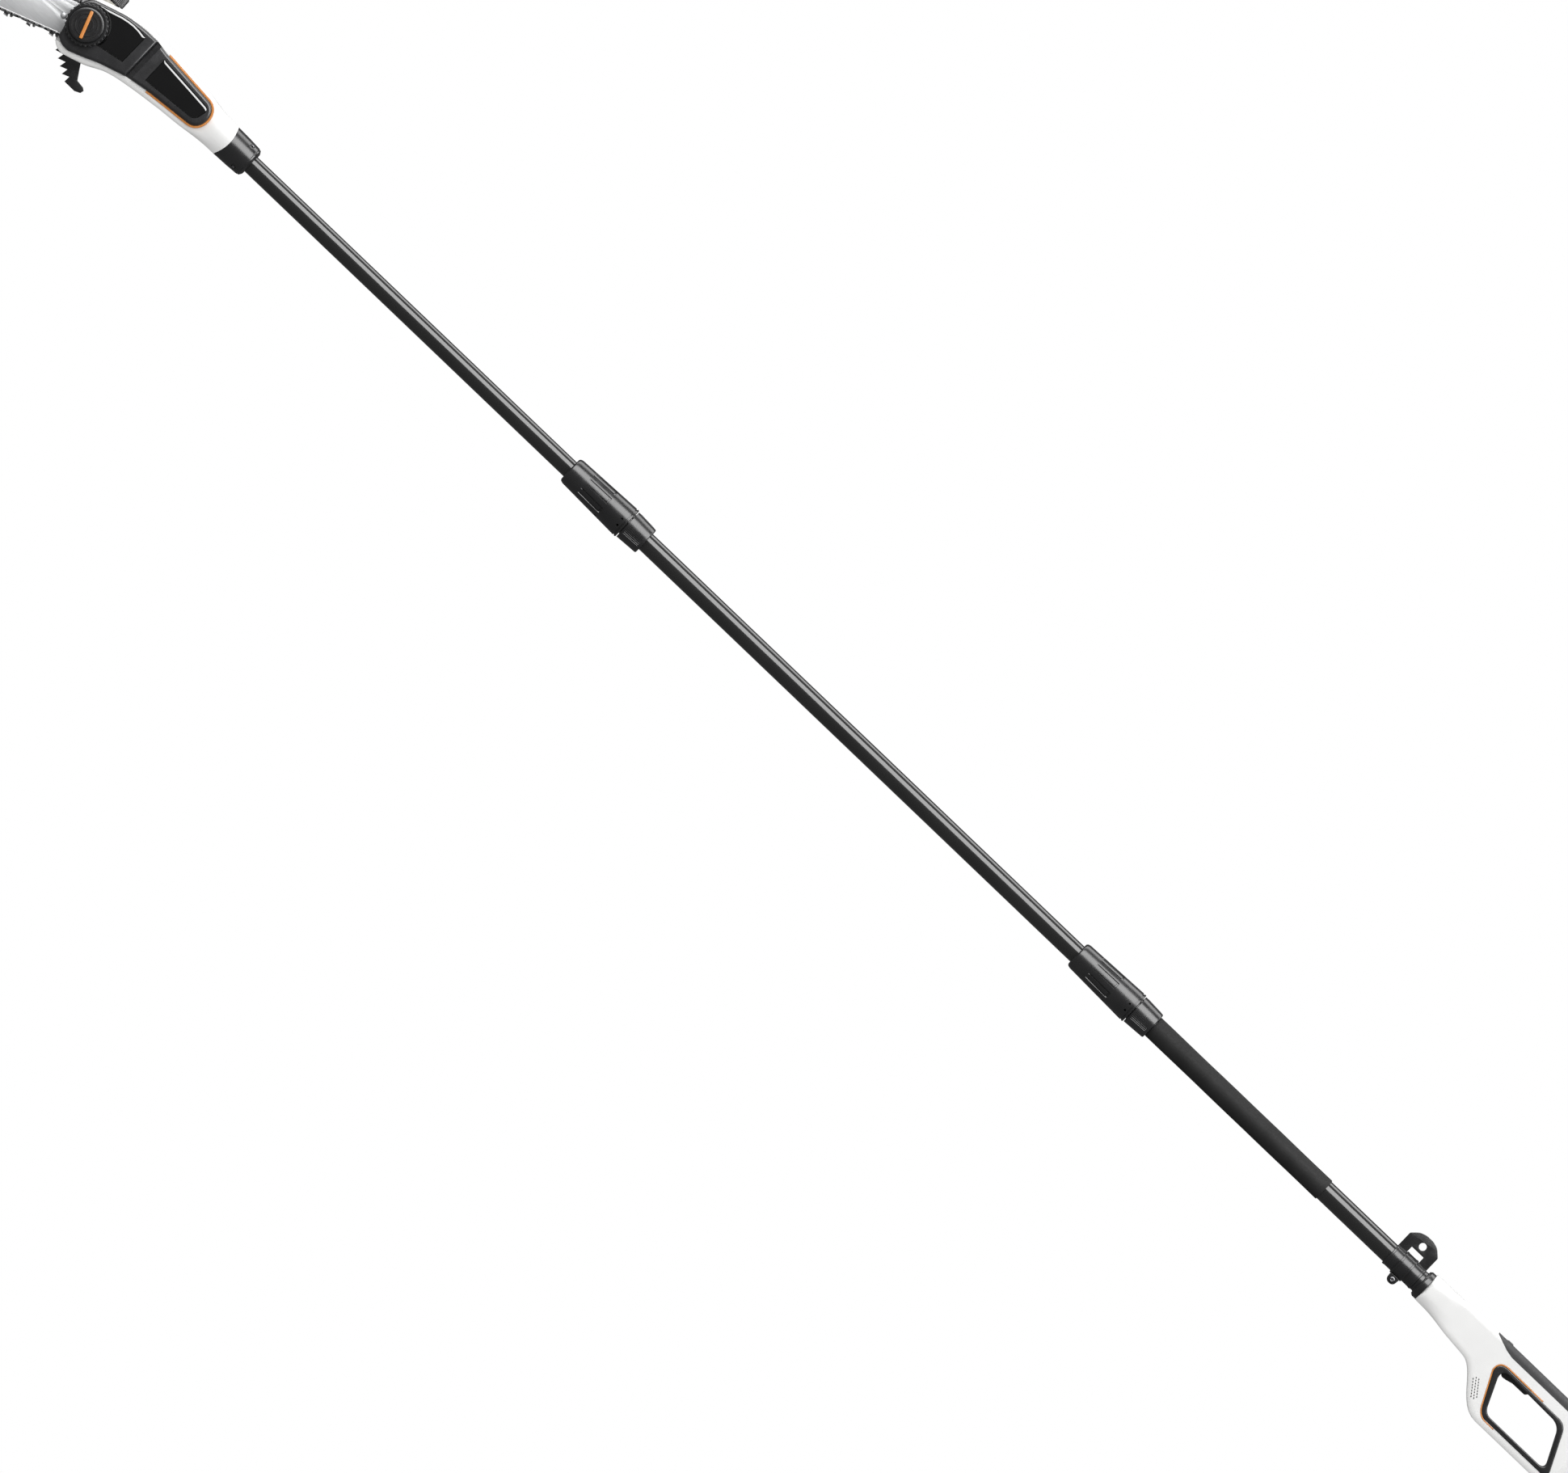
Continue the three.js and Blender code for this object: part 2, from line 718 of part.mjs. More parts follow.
const terminalBlock = block(
  dockFace - 12,
  dockFace - fit,
  -terminalHalf,
  terminalHalf,
  -terminalDrop,
  -terminalRise,
);
const blades = [-9, 0, 9].map((y) => (
  block(dockFace - 3, dockFace + 6, y - 0.5, y + 0.5, -terminalDrop + 3, -terminalRise - 3)
));
place(saw, 'battery_terminals', union(terminalBlock, ...blades), 'brass');

// ---- Battery pack ------------------------------------------------------------------------------

const cellStackHeight = (cellRows - 1) * cellPitch + 2 * cellRadius;
const cellStackDepth = cellPitch + 2 * cellRadius;
const packHalfWidth = cellLength / 2 + packPadding + wall;
const packFace = dockFace + railDepth + fit;
const packRear = packFace + 2 * wall + packPadding + cellStackDepth + packLatchRoom;
const packTop = gripTop - 2;
const packBottom = packTop - 2 * wall - packPadding - cellStackHeight - packHeadroom;
const packPlan = (shrink) => outline((path) => {
  const reach = packHalfWidth - shrink;
  path.moveTo(packFace + shrink, -reach);
  path.lineTo(packRear - shrink - 8, -reach);
  path.quadraticCurveTo(packRear - shrink, -reach, packRear - shrink, -reach + 8);
  path.lineTo(packRear - shrink, reach - 8);
  path.quadraticCurveTo(packRear - shrink, reach, packRear - shrink - 8, reach);
  path.lineTo(packFace + shrink, reach);
}, 4);
const shoeFace = dockFace + fit;
const shoeNeck = [
  [shoeFace, -railInner - railLip + fit],
  [packFace - railDepth + 4 - 2 * fit, -railInner - railLip + fit],
  [packFace - railDepth + 4 - 2 * fit, -railInner + fit],
  [packFace + 1, -railInner + fit],
  [packFace + 1, railInner - fit],
  [packFace - railDepth + 4 - 2 * fit, railInner - fit],
  [packFace - railDepth + 4 - 2 * fit, railInner + railLip - fit],
  [shoeFace, railInner + railLip - fit],
];
const latchHalf = 13;
const latchLow = packTop - 24;
const latchHigh = packTop - 6;
const latchPocket = block(
  packRear - 9,
  packRear + 1,
  -latchHalf - fit,
  latchHalf + fit,
  latchLow - fit,
  latchHigh + fit,
);
const bladeGroove = block(
  dockFace,
  packFace + wall + 1,
  -12,
  12,
  packBottom - 1,
  -terminalRise + 2,
);
const packShell = cut(
  union(column(packPlan(0), packBottom, packTop), column(shoeNeck, packBottom + 6, packTop - 4)),
  column(packPlan(wall), packBottom + wall, packTop - wall),
  latchPocket,
  bladeGroove,
);
place(saw, 'battery_case', packShell, 'blackPlastic');

const cellSolids = [];
for (let row = 0; row < cellRows; row += 1) {
  for (let layer = 0; layer < 2; layer += 1) {
    const x = packFace + wall + packPadding + cellRadius + layer * cellPitch;
    const z = packBottom + wall + packPadding + cellRadius + row * cellPitch;
    cellSolids.push(rod('y', [x, 0, z], -cellLength / 2, cellLength / 2, cellRadius, 16));
  }
}
place(saw, 'battery_cells', union(...cellSolids), 'cells');

const latchButton = block(
  packRear - latchTravel - 2,
  packRear + 1.5,
  -latchHalf,
  latchHalf,
  latchLow,
  latchHigh,
);
place(saw, 'battery_latch', latchButton, 'orange');

// ---- Saw head: outlines ------------------------------------------------------------------------

const headOutline = outline((path) => {
  path.moveTo(-collarGrip, 29.4);
  path.lineTo(-199.2, 41.3);
  path.splineThru([[-225.8, 43.8], [-249.4, 44.3], [-283.5, 36.2], [-325.8, 22.6]].map(toVector));
  path.quadraticCurveTo(-346, 16, -346.8, -6);
  path.lineTo(-341, -45);
  path.quadraticCurveTo(-336, -74.3, -312.2, -74.3);
  path.splineThru([[-278.1, -63.5], [-247.6, -49.2], [-208.1, -41.3], [-154.3, -34.8]].map(toVector));
  path.lineTo(-collarGrip, -26.9);
}, 5);
const headPlan = [
  [-360, -headFront],
  [-170, -headFront],
  [-collarGrip - 20, -headThroat],
  [-collarGrip, -headThroat],
  [-collarGrip, headThroat],
  [-collarGrip - 20, headThroat],
  [-170, headBack],
  [-340, headBack],
  [-360, headBack - 8],
];
function toVector([x, y]) {
  return new THREE.Vector2(x, y);
}

const coverOutline = outline((path) => {
  path.moveTo(-220.8, 35.5);
  path.lineTo(-240.4, 35.5);
  path.splineThru([[-261.9, 33.7], [-283.5, 30.1], [-328.3, 16.5]].map(toVector));
  path.quadraticCurveTo(-343, 8, -343.5, -14);
  path.lineTo(-332.5, -57);
  path.quadraticCurveTo(-324, -67, -306.8, -64.9);
  path.splineThru([[-283.5, -56], [-261.9, -47], [-233.2, -38], [-220.8, -34.1]].map(toVector));
}, 5);

const motorCoverOutline = outline((path) => {
  path.moveTo(-220.2, 35.3);
  path.lineTo(-198, 31.3);
  path.lineTo(-106, 23.6);
  path.bezierCurveTo(-84, 20, -84, -18.6, -107.7, -20.3);
  path.lineTo(-177.7, -26.7);
  path.lineTo(-220.2, -33.5);
}, 10);

function headBody(distance) {
  const side = slab(inset(headOutline, distance), -60, 60);
  return side.intersect(column(inset(headPlan, distance), -90, 60));
}

// ---- Saw head: covers and trim -----------------------------------------------------------------

const stud = [studCentre[0], 0, studCentre[1]];
const sprocketCentre = onBar([-sprocketOffset, 0]);
const shaft = [sprocketCentre[0], 0, sprocketCentre[1]];
const barFront = barPlane - barThickness / 2;
const barBack = barPlane + barThickness / 2;

// The glossy inserts, as outlines in the covers' faces.
const coverInsert = [[-238, 25], [-282, 22], [-279, -31], [-238, -22]];
const motorInsert = outline((path) => {
  path.moveTo(-195.6, 23);
  path.lineTo(-106, 15.6);
  path.quadraticCurveTo(-98, 14.8, -99.5, 6);
  path.lineTo(-102, -4);
  path.quadraticCurveTo(-105, -11.4, -114, -12);
  path.lineTo(-195.6, -18.3);
}, 4);

const coverShell = cut(
  slab(coverOutline, coverFace, coverSeat),
  slab(inset(coverOutline, coverWall), coverFace + coverWall, coverSeat + 1),
);
const bossRadius = 14;
const coverBoss = rod('y', stud, coverFace + 1, barFront - fit, bossRadius);
const insertRecess = (points, face) => slab(inset(points, -fit), face - 1, face + insetDepth);
const cover = cut(
  union(coverShell, coverBoss),
  rod('y', stud, coverFace - 1, barBack, studRadius + fit),
  insertRecess(coverInsert, coverFace),
);
place(head, 'sprocket_cover', cover, 'blackPlastic');
place(
  head,
  'sprocket_cover_insert',
  slab(coverInsert, coverFace, coverFace + insetPlate),
  'glossBlack',
);

const grooveRear = -211.7;
const motorCover = cut(
  slab(motorCoverOutline, motorCoverFace, coverSeat),
  slab(inset(motorCoverOutline, coverWall), motorCoverFace + 3, coverSeat + 1),
  block(-225, grooveRear, motorCoverFace - 1, motorCoverFace + 8, -50, 50),
  insertRecess(motorInsert, motorCoverFace),
);
place(head, 'motor_cover', motorCover, 'blackPlastic');
place(
  head,
  'motor_cover_insert',
  slab(motorInsert, motorCoverFace, motorCoverFace + insetPlate),
  'glossBlack',
);

// The orange line borders the motor cover on three sides.
function headTrimBand(grow, y0, y1) {
  const outside = slab(inset(motorCoverOutline, -fit - trimWidth - grow), y0, y1);
  const inside = slab(inset(motorCoverOutline, -fit + grow), y0 - 1, y1 + 1);
  const rear = slab([
    [-199.5 - grow, 60],
    [-178 - grow, -60],
    [-60, -60],
    [-60, 60],
  ], y0 - 1, y1 + 1);
  return cut(outside, inside).intersect(rear);
}
place(head, 'head_trim', headTrimBand(0, trimFace, coverSeat), 'orange');

// ---- Saw head: guide bar and chain -------------------------------------------------------------

const barTaper = barReach - noseRadius;
const barOutline = (edge) => outline((path) => {
  path.moveTo(-22, -barHalf + 3 - edge);
  path.lineTo(120, -barHalf - edge);
  path.absarc(barTaper, 0, noseRadius + edge, -Math.PI / 2, Math.PI / 2, false);
  path.lineTo(120, barHalf + edge);
  path.lineTo(-22, barHalf - 3 + edge);
}, 12);
const onBarSlab = (points, y0, y1) => slab(points.map((p) => onBar(p)), y0, y1);

const noseSprocketRadius = 12;
const barHole = (along, across, radius) => {
  const [x, z] = onBar([along, across]);
  return rod('y', [x, 0, z], barFront - 5, barBack + 5, radius, 20);
};
const studSlot = outline((path) => {
  path.absarc(14, 0, studRadius + fit, -Math.PI / 2, Math.PI / 2, false);
  path.absarc(-12, 0, studRadius + fit, Math.PI / 2, 1.5 * Math.PI, false);
}, 6);
const pinAlong = 37.5;
const pinRadius = 3;
const guideBar = cut(
  onBarSlab(barOutline(0), barFront, barBack),
  onBarSlab(studSlot, barFront - 5, barBack + 5),
  barHole(pinAlong, 0, pinRadius + fit),
  barHole(barTaper, 0, noseSprocketRadius + fit),
);
place(head, 'guide_bar', guideBar, 'brightSteel');

const [pinX, pinZ] = onBar([pinAlong, 0]);
const barPin = turned([
  [barFront - 3, 0],
  [barFront - 3, pinRadius + 0.6],
  [barFront - fit, pinRadius + 1.6],
  [barFront - fit, pinRadius],
  [barBack + 1, pinRadius],
  [barBack + 1, 0],
], 'y', [pinX, 0, pinZ], 16);
place(head, 'bar_pin', barPin, 'brightSteel');

const [noseX, noseZ] = onBar([barTaper, 0]);
place(
  head,
  'bar_nose_sprocket',
  rod('y', [noseX, 0, noseZ], barFront + 0.2, barBack - 0.2, noseSprocketRadius, 18),
  'darkSteel',
);

// The chain's path runs round the nose and back to the drive sprocket, clear of the bar's edge.
function chainPath(edge) {
  const path = new THREE.Path();
  const wrap = chainWrap + edge;
  const rim = barHalf + fit + edge;
  const lean = Math.asin((rim - 3 - wrap) / sprocketOffset);
  path.absarc(-sprocketOffset, 0, wrap, Math.PI / 2 + lean, 1.5 * Math.PI - lean, false);
  path.lineTo(0, -rim);
  path.lineTo(120, -rim);
  path.absarc(barTaper, 0, noseRadius + fit + edge, -Math.PI / 2, Math.PI / 2, false);
  path.lineTo(120, rim);
  path.lineTo(0, rim);
  path.closePath();
  return path;
}
const pathPoints = (path, divisions) => outline((shape) => {
  shape.curves = path.curves;
}, divisions);

// Cutters stand on the links, one every cutter pitch, except where the chain wraps the sprocket.
const linkPath = chainPath(chainLink);
const linkBand = cut(
  onBarSlab(pathPoints(linkPath, 10), barPlane - chainWidth / 2, barPlane + chainWidth / 2),
  onBarSlab(pathPoints(chainPath(0), 10), -40, 0),
);
const cutterRise = cutterHeight - chainLink;
const pathLength = linkPath.getLength();
const cutters = [];
for (let distance = cutterPitch / 2; distance < pathLength - 14; distance += cutterPitch) {
  const spot = linkPath.getPointAt(distance / pathLength);
  const way = linkPath.getTangentAt(distance / pathLength);
  if (spot.x > -40) {
    const tooth = [[-1, -1.5], [13, -1.5], [12, cutterRise * 0.8], [1, cutterRise]];
    const points = tooth.map(([along, up]) => onBar([
      spot.x + way.x * along + way.y * up,
      spot.y + way.y * along - way.x * up,
    ]));
    cutters.push(slab(points, barPlane - 3, barPlane + 3));
  }
}
place(head, 'saw_chain', union(linkBand, ...cutters), 'darkSteel');

// ---- Saw head: shells --------------------------------------------------------------------------

const collarInside = -collarGrip - 26;
const collarBore = upperTubeRadius + fit;
const capSpot = [capCentre[0], capCentre[1], 0];
const hookSide = [10, 14];
const hookOutline = [
  [-322, -48],
  [-334, -67.2],
  [-325, -68.5],
  [-323.5, -77],
  [-315, -77],
  [-312.5, -83.5],
  [-305, -83],
  [-302.5, -89.8],
  [-295.5, -89],
  [-292.5, -95.8],
  [-286, -94.5],
  [-282, -101.3],
  [-262, -101.5],
  [-253.5, -97.5],
  [-252, -92],
  [-256, -88.8],
  [-269, -87.2],
  [-283.5, -65],
  [-290, -48],
];

// The bay that holds the bar and chain, open at the front where the bar comes out.
const chainBay = union(
  slab(inset(coverOutline, -fit), -60, chamberFloor),
  onBarSlab([[-2, -38], [90, -38], [90, 38], [-2, 38]], -60, chamberFloor),
);
const bearingRadius = 11;
const shellCuts = [
  chainBay,
  slab(inset(motorCoverOutline, -fit), -60, coverSeat + fit),
  headTrimBand(fit, -60, coverSeat + fit),
  headBody(headWall).intersect(block(-400, -222, chamberFloor + coverWall, 60, -120, 60)),
  headBody(headWall).intersect(block(-222.5, -78, coverSeat + fit + coverWall, 60, -120, 60)),
  rod('x', [0, 0, 0], collarInside - 1, 0, headCollarRadius - 1 + fit, 40),
  rod('y', stud, -60, 0, studRadius + fit),
  rod('y', shaft, -60, 0, bearingRadius + fit, 32),
  slab(inset(hookOutline, -fit), hookSide[0] - fit, hookSide[1] + fit),
  rod('z', capSpot, 20, 60, 14 + fit, 32),
];
const headShell = cut(headBody(0), ...shellCuts);
const headHalf = (y0, y1) => block(-400, 0, y0, y1, -120, 70);
place(head, 'head_shell_front', headShell.intersect(headHalf(-60, -fit / 2)), 'whiteShell');
place(head, 'head_shell_back', headShell.intersect(headHalf(fit / 2, 60)), 'whiteShell');
place(head, 'branch_hook', slab(hookOutline, ...hookSide), 'blackPlastic');

// The head collar grips the upper tube and runs into the shells.
const headCollar = turned([
  [collarInside, collarBore],
  [collarInside, headCollarRadius - 1],
  [-collarGrip + fit, headCollarRadius - 1],
  [-collarGrip + fit, headThroat],
  [-6, headCollarRadius],
  [0, headCollarRadius - 6],
  [0, collarBore],
  [collarInside, collarBore],
]);
place(head, 'head_collar', headCollar, 'blackPlastic');

// ---- Saw head: drive ---------------------------------------------------------------------------

const motorCentre = [0, motorAxisY, sprocketCentre[1]];
const caseFront = chamberFloor + coverWall + fit;
const casePlan = { x0: -280, x1: -206, z0: -22, z1: 29, back: 32, wall: 3 };
const gearCaseBody = cut(
  block(casePlan.x0, casePlan.x1, caseFront, casePlan.back, casePlan.z0, casePlan.z1),
  block(
    casePlan.x0 + casePlan.wall,
    casePlan.x1 - casePlan.wall,
    caseFront + casePlan.wall,
    casePlan.back - casePlan.wall,
    casePlan.z0 + casePlan.wall,
    casePlan.z1 - casePlan.wall,
  ),
  rod('y', shaft, -30, 0, bearingRadius + fit, 32),
  rod('y', shaft, 20, 40, shaftRadius + shaftFit, 24),
  rod('x', motorCentre, -215, -200, pinionRadius + 1, 24),
);
place(head, 'gear_case', gearCaseBody, 'darkSteel');
place(
  head,
  'shaft_bearing',
  ring('y', shaft, chamberFloor, caseFront + 2.5, shaftRadius + shaftFit, bearingRadius, 32),
  'brightSteel',
);
place(head, 'sprocket_shaft', rod('y', shaft, -27, casePlan.back - 1, shaftRadius), 'brightSteel');

const gearFace = caseFront + casePlan.wall + fit;
const toothed = (count, inner, outer) => {
  const points = [];
  for (let tooth = 0; tooth < count; tooth += 1) {
    [[0, inner], [0.3, outer], [0.6, outer], [0.9, inner]].forEach(([part, radius]) => {
      const angle = (2 * Math.PI * (tooth + part)) / count;
      points.push([radius * Math.cos(angle), radius * Math.sin(angle)]);
    });
  }
  return points;
};
const at = (points, [x, , z]) => points.map((p) => [p[0] + x, p[1] + z]);
const gearDisc = cut(
  slab(at(toothed(gearTeeth, gearRadius - 1.6, gearRadius), shaft), gearFace, gearFace + 6),
  rod('y', shaft, -30, 30, shaftRadius + shaftFit),
);
place(head, 'bevel_gear', gearDisc, 'darkSteel');
const sprocket = cut(
  slab(at(toothed(6, sprocketRadius - 4, sprocketRadius), shaft), barPlane - 3, barPlane + 3),
  rod('y', shaft, -30, 0, shaftRadius + shaftFit),
);
place(head, 'drive_sprocket', sprocket, 'darkSteel');

const pinionFront = sprocketCentre[0] + 15;
const pinionShape = new THREE.Shape(toothed(pinionTeeth, pinionRadius - 1.2, pinionRadius).map(toVector));
const pinionGeometry = new THREE.ExtrudeGeometry(pinionShape, { depth: 14, bevelEnabled: false });
pinionGeometry.rotateY(Math.PI / 2);
pinionGeometry.translate(pinionFront, motorAxisY, sprocketCentre[1]);
const shaftBore = rod('x', motorCentre, -260, -200, motorShaft + shaftFit, 16);
place(head, 'bevel_pinion', cut(solid(pinionGeometry), shaftBore), 'darkSteel');

const motorRear = motorFront + motorLength;
const motorCan = cut(
  rod('x', motorCentre, motorFront, motorRear, motorRadius, 40),
  rod('x', motorCentre, motorFront - 1, motorRear - 3, motorRadius - 2.5, 40),
  rod('x', motorCentre, motorRear - 4, motorRear + 1, motorShaft + shaftFit, 16),
);
place(head, 'motor_can', motorCan, 'darkSteel');
const rotor = turned([
  [pinionFront + 1, 0],
  [pinionFront + 1, motorShaft],
  [motorFront + 5, motorShaft],
  [motorFront + 5, motorRadius - 4],
  [motorRear - 8, motorRadius - 4],
  [motorRear - 8, motorShaft],
  [motorRear + 2, motorShaft],
  [motorRear + 2, 0],
], 'x', motorCentre, 24);
place(head, 'motor_rotor', rotor, 'brass');

// ---- Saw head: bar clamp -----------------------------------------------------------------------

const plateFront = barBack + fit;
const plateBack = chamberFloor - fit;
const padOutline = [[-18, -19], [24, -19], [24, 19], [-18, 19]];
const pad = cut(
  onBarSlab(padOutline, plateFront, plateBack),
  rod('y', stud, -40, 0, studRadius + fit),
);
place(head, 'bar_pad', pad, 'brightSteel');

const floorBack = chamberFloor + coverWall;
const studTip = coverFace - ringDepth - 4;
const barStud = turned([
  [studTip, 0],
  [studTip, studRadius],
  [floorBack + fit, studRadius],
  [floorBack + fit, studRadius + 3.5],
  [floorBack + fit + 3, studRadius + 3.5],
  [floorBack + fit + 3, 0],
], 'y', stud, 20);
place(head, 'bar_stud', barStud, 'brightSteel');

const ringBack = coverFace - fit;
const ringFace = ringBack - ringDepth;
const ringTeeth = at(toothed(28, ringRadius - 1.4, ringRadius), stud);
const tensionRing = cut(
  slab(ringTeeth, ringFace, ringBack),
  rod('y', stud, ringFace - 1, ringBack + 1, hubRadius + fit, 32),
);
place(head, 'tension_ring', tensionRing, 'blackPlastic');

const knobBack = ringFace - fit;
const knobFace = knobBack - knobDepth;
const nutHole = slab(at(toothed(6, nutRadius + fit, nutRadius + fit), stud), knobFace + 2.5, 0);
const knob = cut(
  turned([
    [knobFace, 0],
    [knobFace, knobRadius - 1.5],
    [knobFace + 1.5, knobRadius],
    [knobBack, knobRadius],
    [knobBack, hubRadius],
    [ringBack, hubRadius],
    [ringBack, 0],
  ], 'y', stud, 36),
  nutHole,
);
const barAngle = tilt + Math.PI / 2;
const knobBar = (half, thick) => [[-half, -thick], [half, -thick], [half, thick], [-half, thick]]
  .map(([u, v]) => [
    stud[0] + u * Math.cos(barAngle) - v * Math.sin(barAngle),
    stud[2] + u * Math.sin(barAngle) + v * Math.cos(barAngle),
  ]);
const knobGroove = slab(knobBar(21.5 + fit, 2.5 + fit), knobFace - 1, knobFace + 1.2);
place(head, 'lock_knob', cut(knob, knobGroove), 'blackPlastic');
place(
  head,
  'knob_handle',
  slab(knobBar(21.5, 2.5), knobFace - 2.5, knobFace + 1.2 - fit),
  'orange',
);
const nut = cut(
  slab(at(toothed(6, nutRadius, nutRadius), stud), knobFace + 2.5 + fit, ringBack),
  rod('y', stud, -70, 0, studRadius + shaftFit),
);
place(head, 'knob_nut', nut, 'brass');

// ---- Saw head: oil -----------------------------------------------------------------------------

const tankOutline = [[-333, -20], [-284.5, -20], [-284.5, 24], [-332, 7]];
const tankSide = [floorBack + 4, headBack - headWall - fit];
const neckTop = capBottom - 2;
const tankBody = union(
  slab(tankOutline, ...tankSide),
  rod('z', capSpot, 8, neckTop, 14, 28),
);
const tank = cut(
  tankBody,
  slab(inset(tankOutline, 1.8), tankSide[0] + 1.8, tankSide[1] - 1.8),
  rod('z', capSpot, 0, neckTop + 1, neckBore, 28),
);
place(head, 'oil_tank', tank, 'clearTank');

const capTop = capBottom + capHeight;
const oilCap = turned([
  [capBottom - 10, 0],
  [capBottom - 10, neckBore - fit],
  [capBottom, neckBore - fit],
  [capBottom, capRadius - 0.8],
  [capBottom + 0.8, capRadius],
  [capTop - 4, capRadius],
  [capTop, capRadius - 4],
  [capTop, 0],
], 'z', capSpot, 28);
place(head, 'oil_cap', oilCap, 'blackPlastic');
place(head, 'oil_pump', union(
  block(-276, -258, -6, 12, -40, -25),
  rod('x', [0, 3, -32], -286, -275, 4, 16),
), 'darkSteel');

export default saw;
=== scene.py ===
import math

import bmesh
import bpy
from mathutils import Matrix, Vector


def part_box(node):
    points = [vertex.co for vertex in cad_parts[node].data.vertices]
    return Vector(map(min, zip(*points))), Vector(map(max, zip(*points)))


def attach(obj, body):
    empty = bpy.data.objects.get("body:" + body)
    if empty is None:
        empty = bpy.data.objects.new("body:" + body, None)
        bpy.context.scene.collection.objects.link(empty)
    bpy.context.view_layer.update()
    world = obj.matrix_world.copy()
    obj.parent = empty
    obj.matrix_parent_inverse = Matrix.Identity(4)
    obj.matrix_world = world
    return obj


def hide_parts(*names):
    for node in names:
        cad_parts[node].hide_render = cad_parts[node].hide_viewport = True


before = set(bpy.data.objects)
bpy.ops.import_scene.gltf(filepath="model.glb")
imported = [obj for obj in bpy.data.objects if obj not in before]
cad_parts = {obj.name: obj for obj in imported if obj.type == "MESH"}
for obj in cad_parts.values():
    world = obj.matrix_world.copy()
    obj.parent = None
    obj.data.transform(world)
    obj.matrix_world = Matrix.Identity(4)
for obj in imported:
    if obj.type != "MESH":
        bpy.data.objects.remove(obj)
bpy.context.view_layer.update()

scene = bpy.context.scene
mm = 0.001

# ---- Studio ----
# White paper below and all round, with a long soft box above the camera and a wider one over the
# far side. They draw two bright lines along anything round and glossy and leave the rest dark.


def linear(code):
    """An sRGB hex colour as linear red, green, blue and alpha."""
    channels = [int(code[i : i + 2], 16) / 255 for i in (1, 3, 5)]
    return [c / 12.92 if c <= 0.04045 else ((c + 0.055) / 1.055) ** 2.4 for c in channels] + [1]


def node(tree, kind, sockets=None, **settings):
    """Adds a node. A socket is named or numbered, and takes a value or another node's output."""
    made = tree.nodes.new(kind)
    for name, value in settings.items():
        setattr(made, name, value)
    for name, value in (sockets or {}).items():
        if isinstance(value, bpy.types.NodeSocket):
            tree.links.new(value, made.inputs[name])
        else:
            made.inputs[name].default_value = value
    return made


pole_middle = Vector((-1.456, 0, -0.0665))
pole_roll = math.radians(43.7)
camera_distance = 30
framed_width = 2.297
sensor = 36

camera_data = bpy.data.cameras.new("camera")
camera_data.sensor_width = sensor
camera_data.lens = sensor * camera_distance / framed_width
camera = bpy.data.objects.new("camera", camera_data)
right = Vector((math.cos(pole_roll), 0, math.sin(pole_roll)))
up = Vector((-math.sin(pole_roll), 0, math.cos(pole_roll)))
facing = Matrix((right, up, right.cross(up))).transposed()
stand = pole_middle + right.cross(up) * camera_distance
camera.matrix_world = Matrix.Translation(stand) @ facing.to_4x4()
scene.collection.objects.link(camera)
scene.camera = camera
scene.view_settings.view_transform = "Standard"


def soft_box(name, elevation, spread, radiance, shines=True, distance=3.0, length=9.0):
    """A strip light along the pole, elevation degrees up from the camera's side.

    It either shines in glossy surfaces or lights dull ones.
    """
    data = bpy.data.lights.new(name, "AREA")
    data.shape = "RECTANGLE"
    data.size = length
    data.size_y = 2 * distance * math.tan(math.radians(spread))
    data.energy = radiance * math.pi * data.size * data.size_y
    light = bpy.data.objects.new(name, data)
    light.visible_camera = False
    light.visible_glossy = shines
    light.visible_diffuse = not shines
    lift = math.radians(elevation)
    away = Vector((0, -math.cos(lift), math.sin(lift)))
    along = Vector((1, 0, 0))
    turn = Matrix((along, away.cross(along), away)).transposed().to_4x4()
    middle = Vector((pole_middle.x, 0, 0))
    light.matrix_world = Matrix.Translation(middle + away * distance) @ turn
    scene.collection.objects.link(light)


soft_box("key_box", elevation=42.5, spread=21.5, radiance=8.0)
soft_box("far_box", elevation=106, spread=14, radiance=4.0)
soft_box("fill_box", elevation=60, spread=40, radiance=1.2, shines=False)

# The paper is white to the camera, bright to dull surfaces and dim in glossy ones.
paper = bpy.data.worlds.new("paper")
paper.use_nodes = True
tree = paper.node_tree
tree.nodes.clear()
seen = node(tree, "ShaderNodeBackground", {"Color": linear("#ffffff"), "Strength": 1.0})
path = node(tree, "ShaderNodeLightPath")
glossy_ray = path.outputs["Is Glossy Ray"]
felt_strength = node(tree, "ShaderNodeMapRange", {"Value": glossy_ray, "To Min": 0.6,
    "To Max": 0.1}).outputs[0]
felt = node(tree, "ShaderNodeBackground", {"Color": linear("#ffffff"), "Strength": felt_strength})
camera_ray = path.outputs["Is Camera Ray"]
mixed = node(tree, "ShaderNodeMixShader", {0: camera_ray, 1: felt.outputs[0], 2: seen.outputs[0]})
node(tree, "ShaderNodeOutputWorld", {"Surface": mixed.outputs[0]})
scene.world = paper

floor_drop = 1.1
floor_side = 30
bpy.ops.mesh.primitive_plane_add(size=floor_side, location=(pole_middle.x, 0, -floor_drop))
floor = bpy.context.object
floor.name = "paper_floor"
floor.visible_diffuse = False
floor.visible_glossy = False
floor_paper = bpy.data.materials.new("white_paper")
floor_paper.use_nodes = True
tree = floor_paper.node_tree
tree.nodes.clear()
glow = node(tree, "ShaderNodeEmission", {"Color": linear("#ffffff"), "Strength": 1.0})
node(tree, "ShaderNodeOutputMaterial", {"Surface": glow.outputs[0]})
floor.data.materials.append(floor_paper)

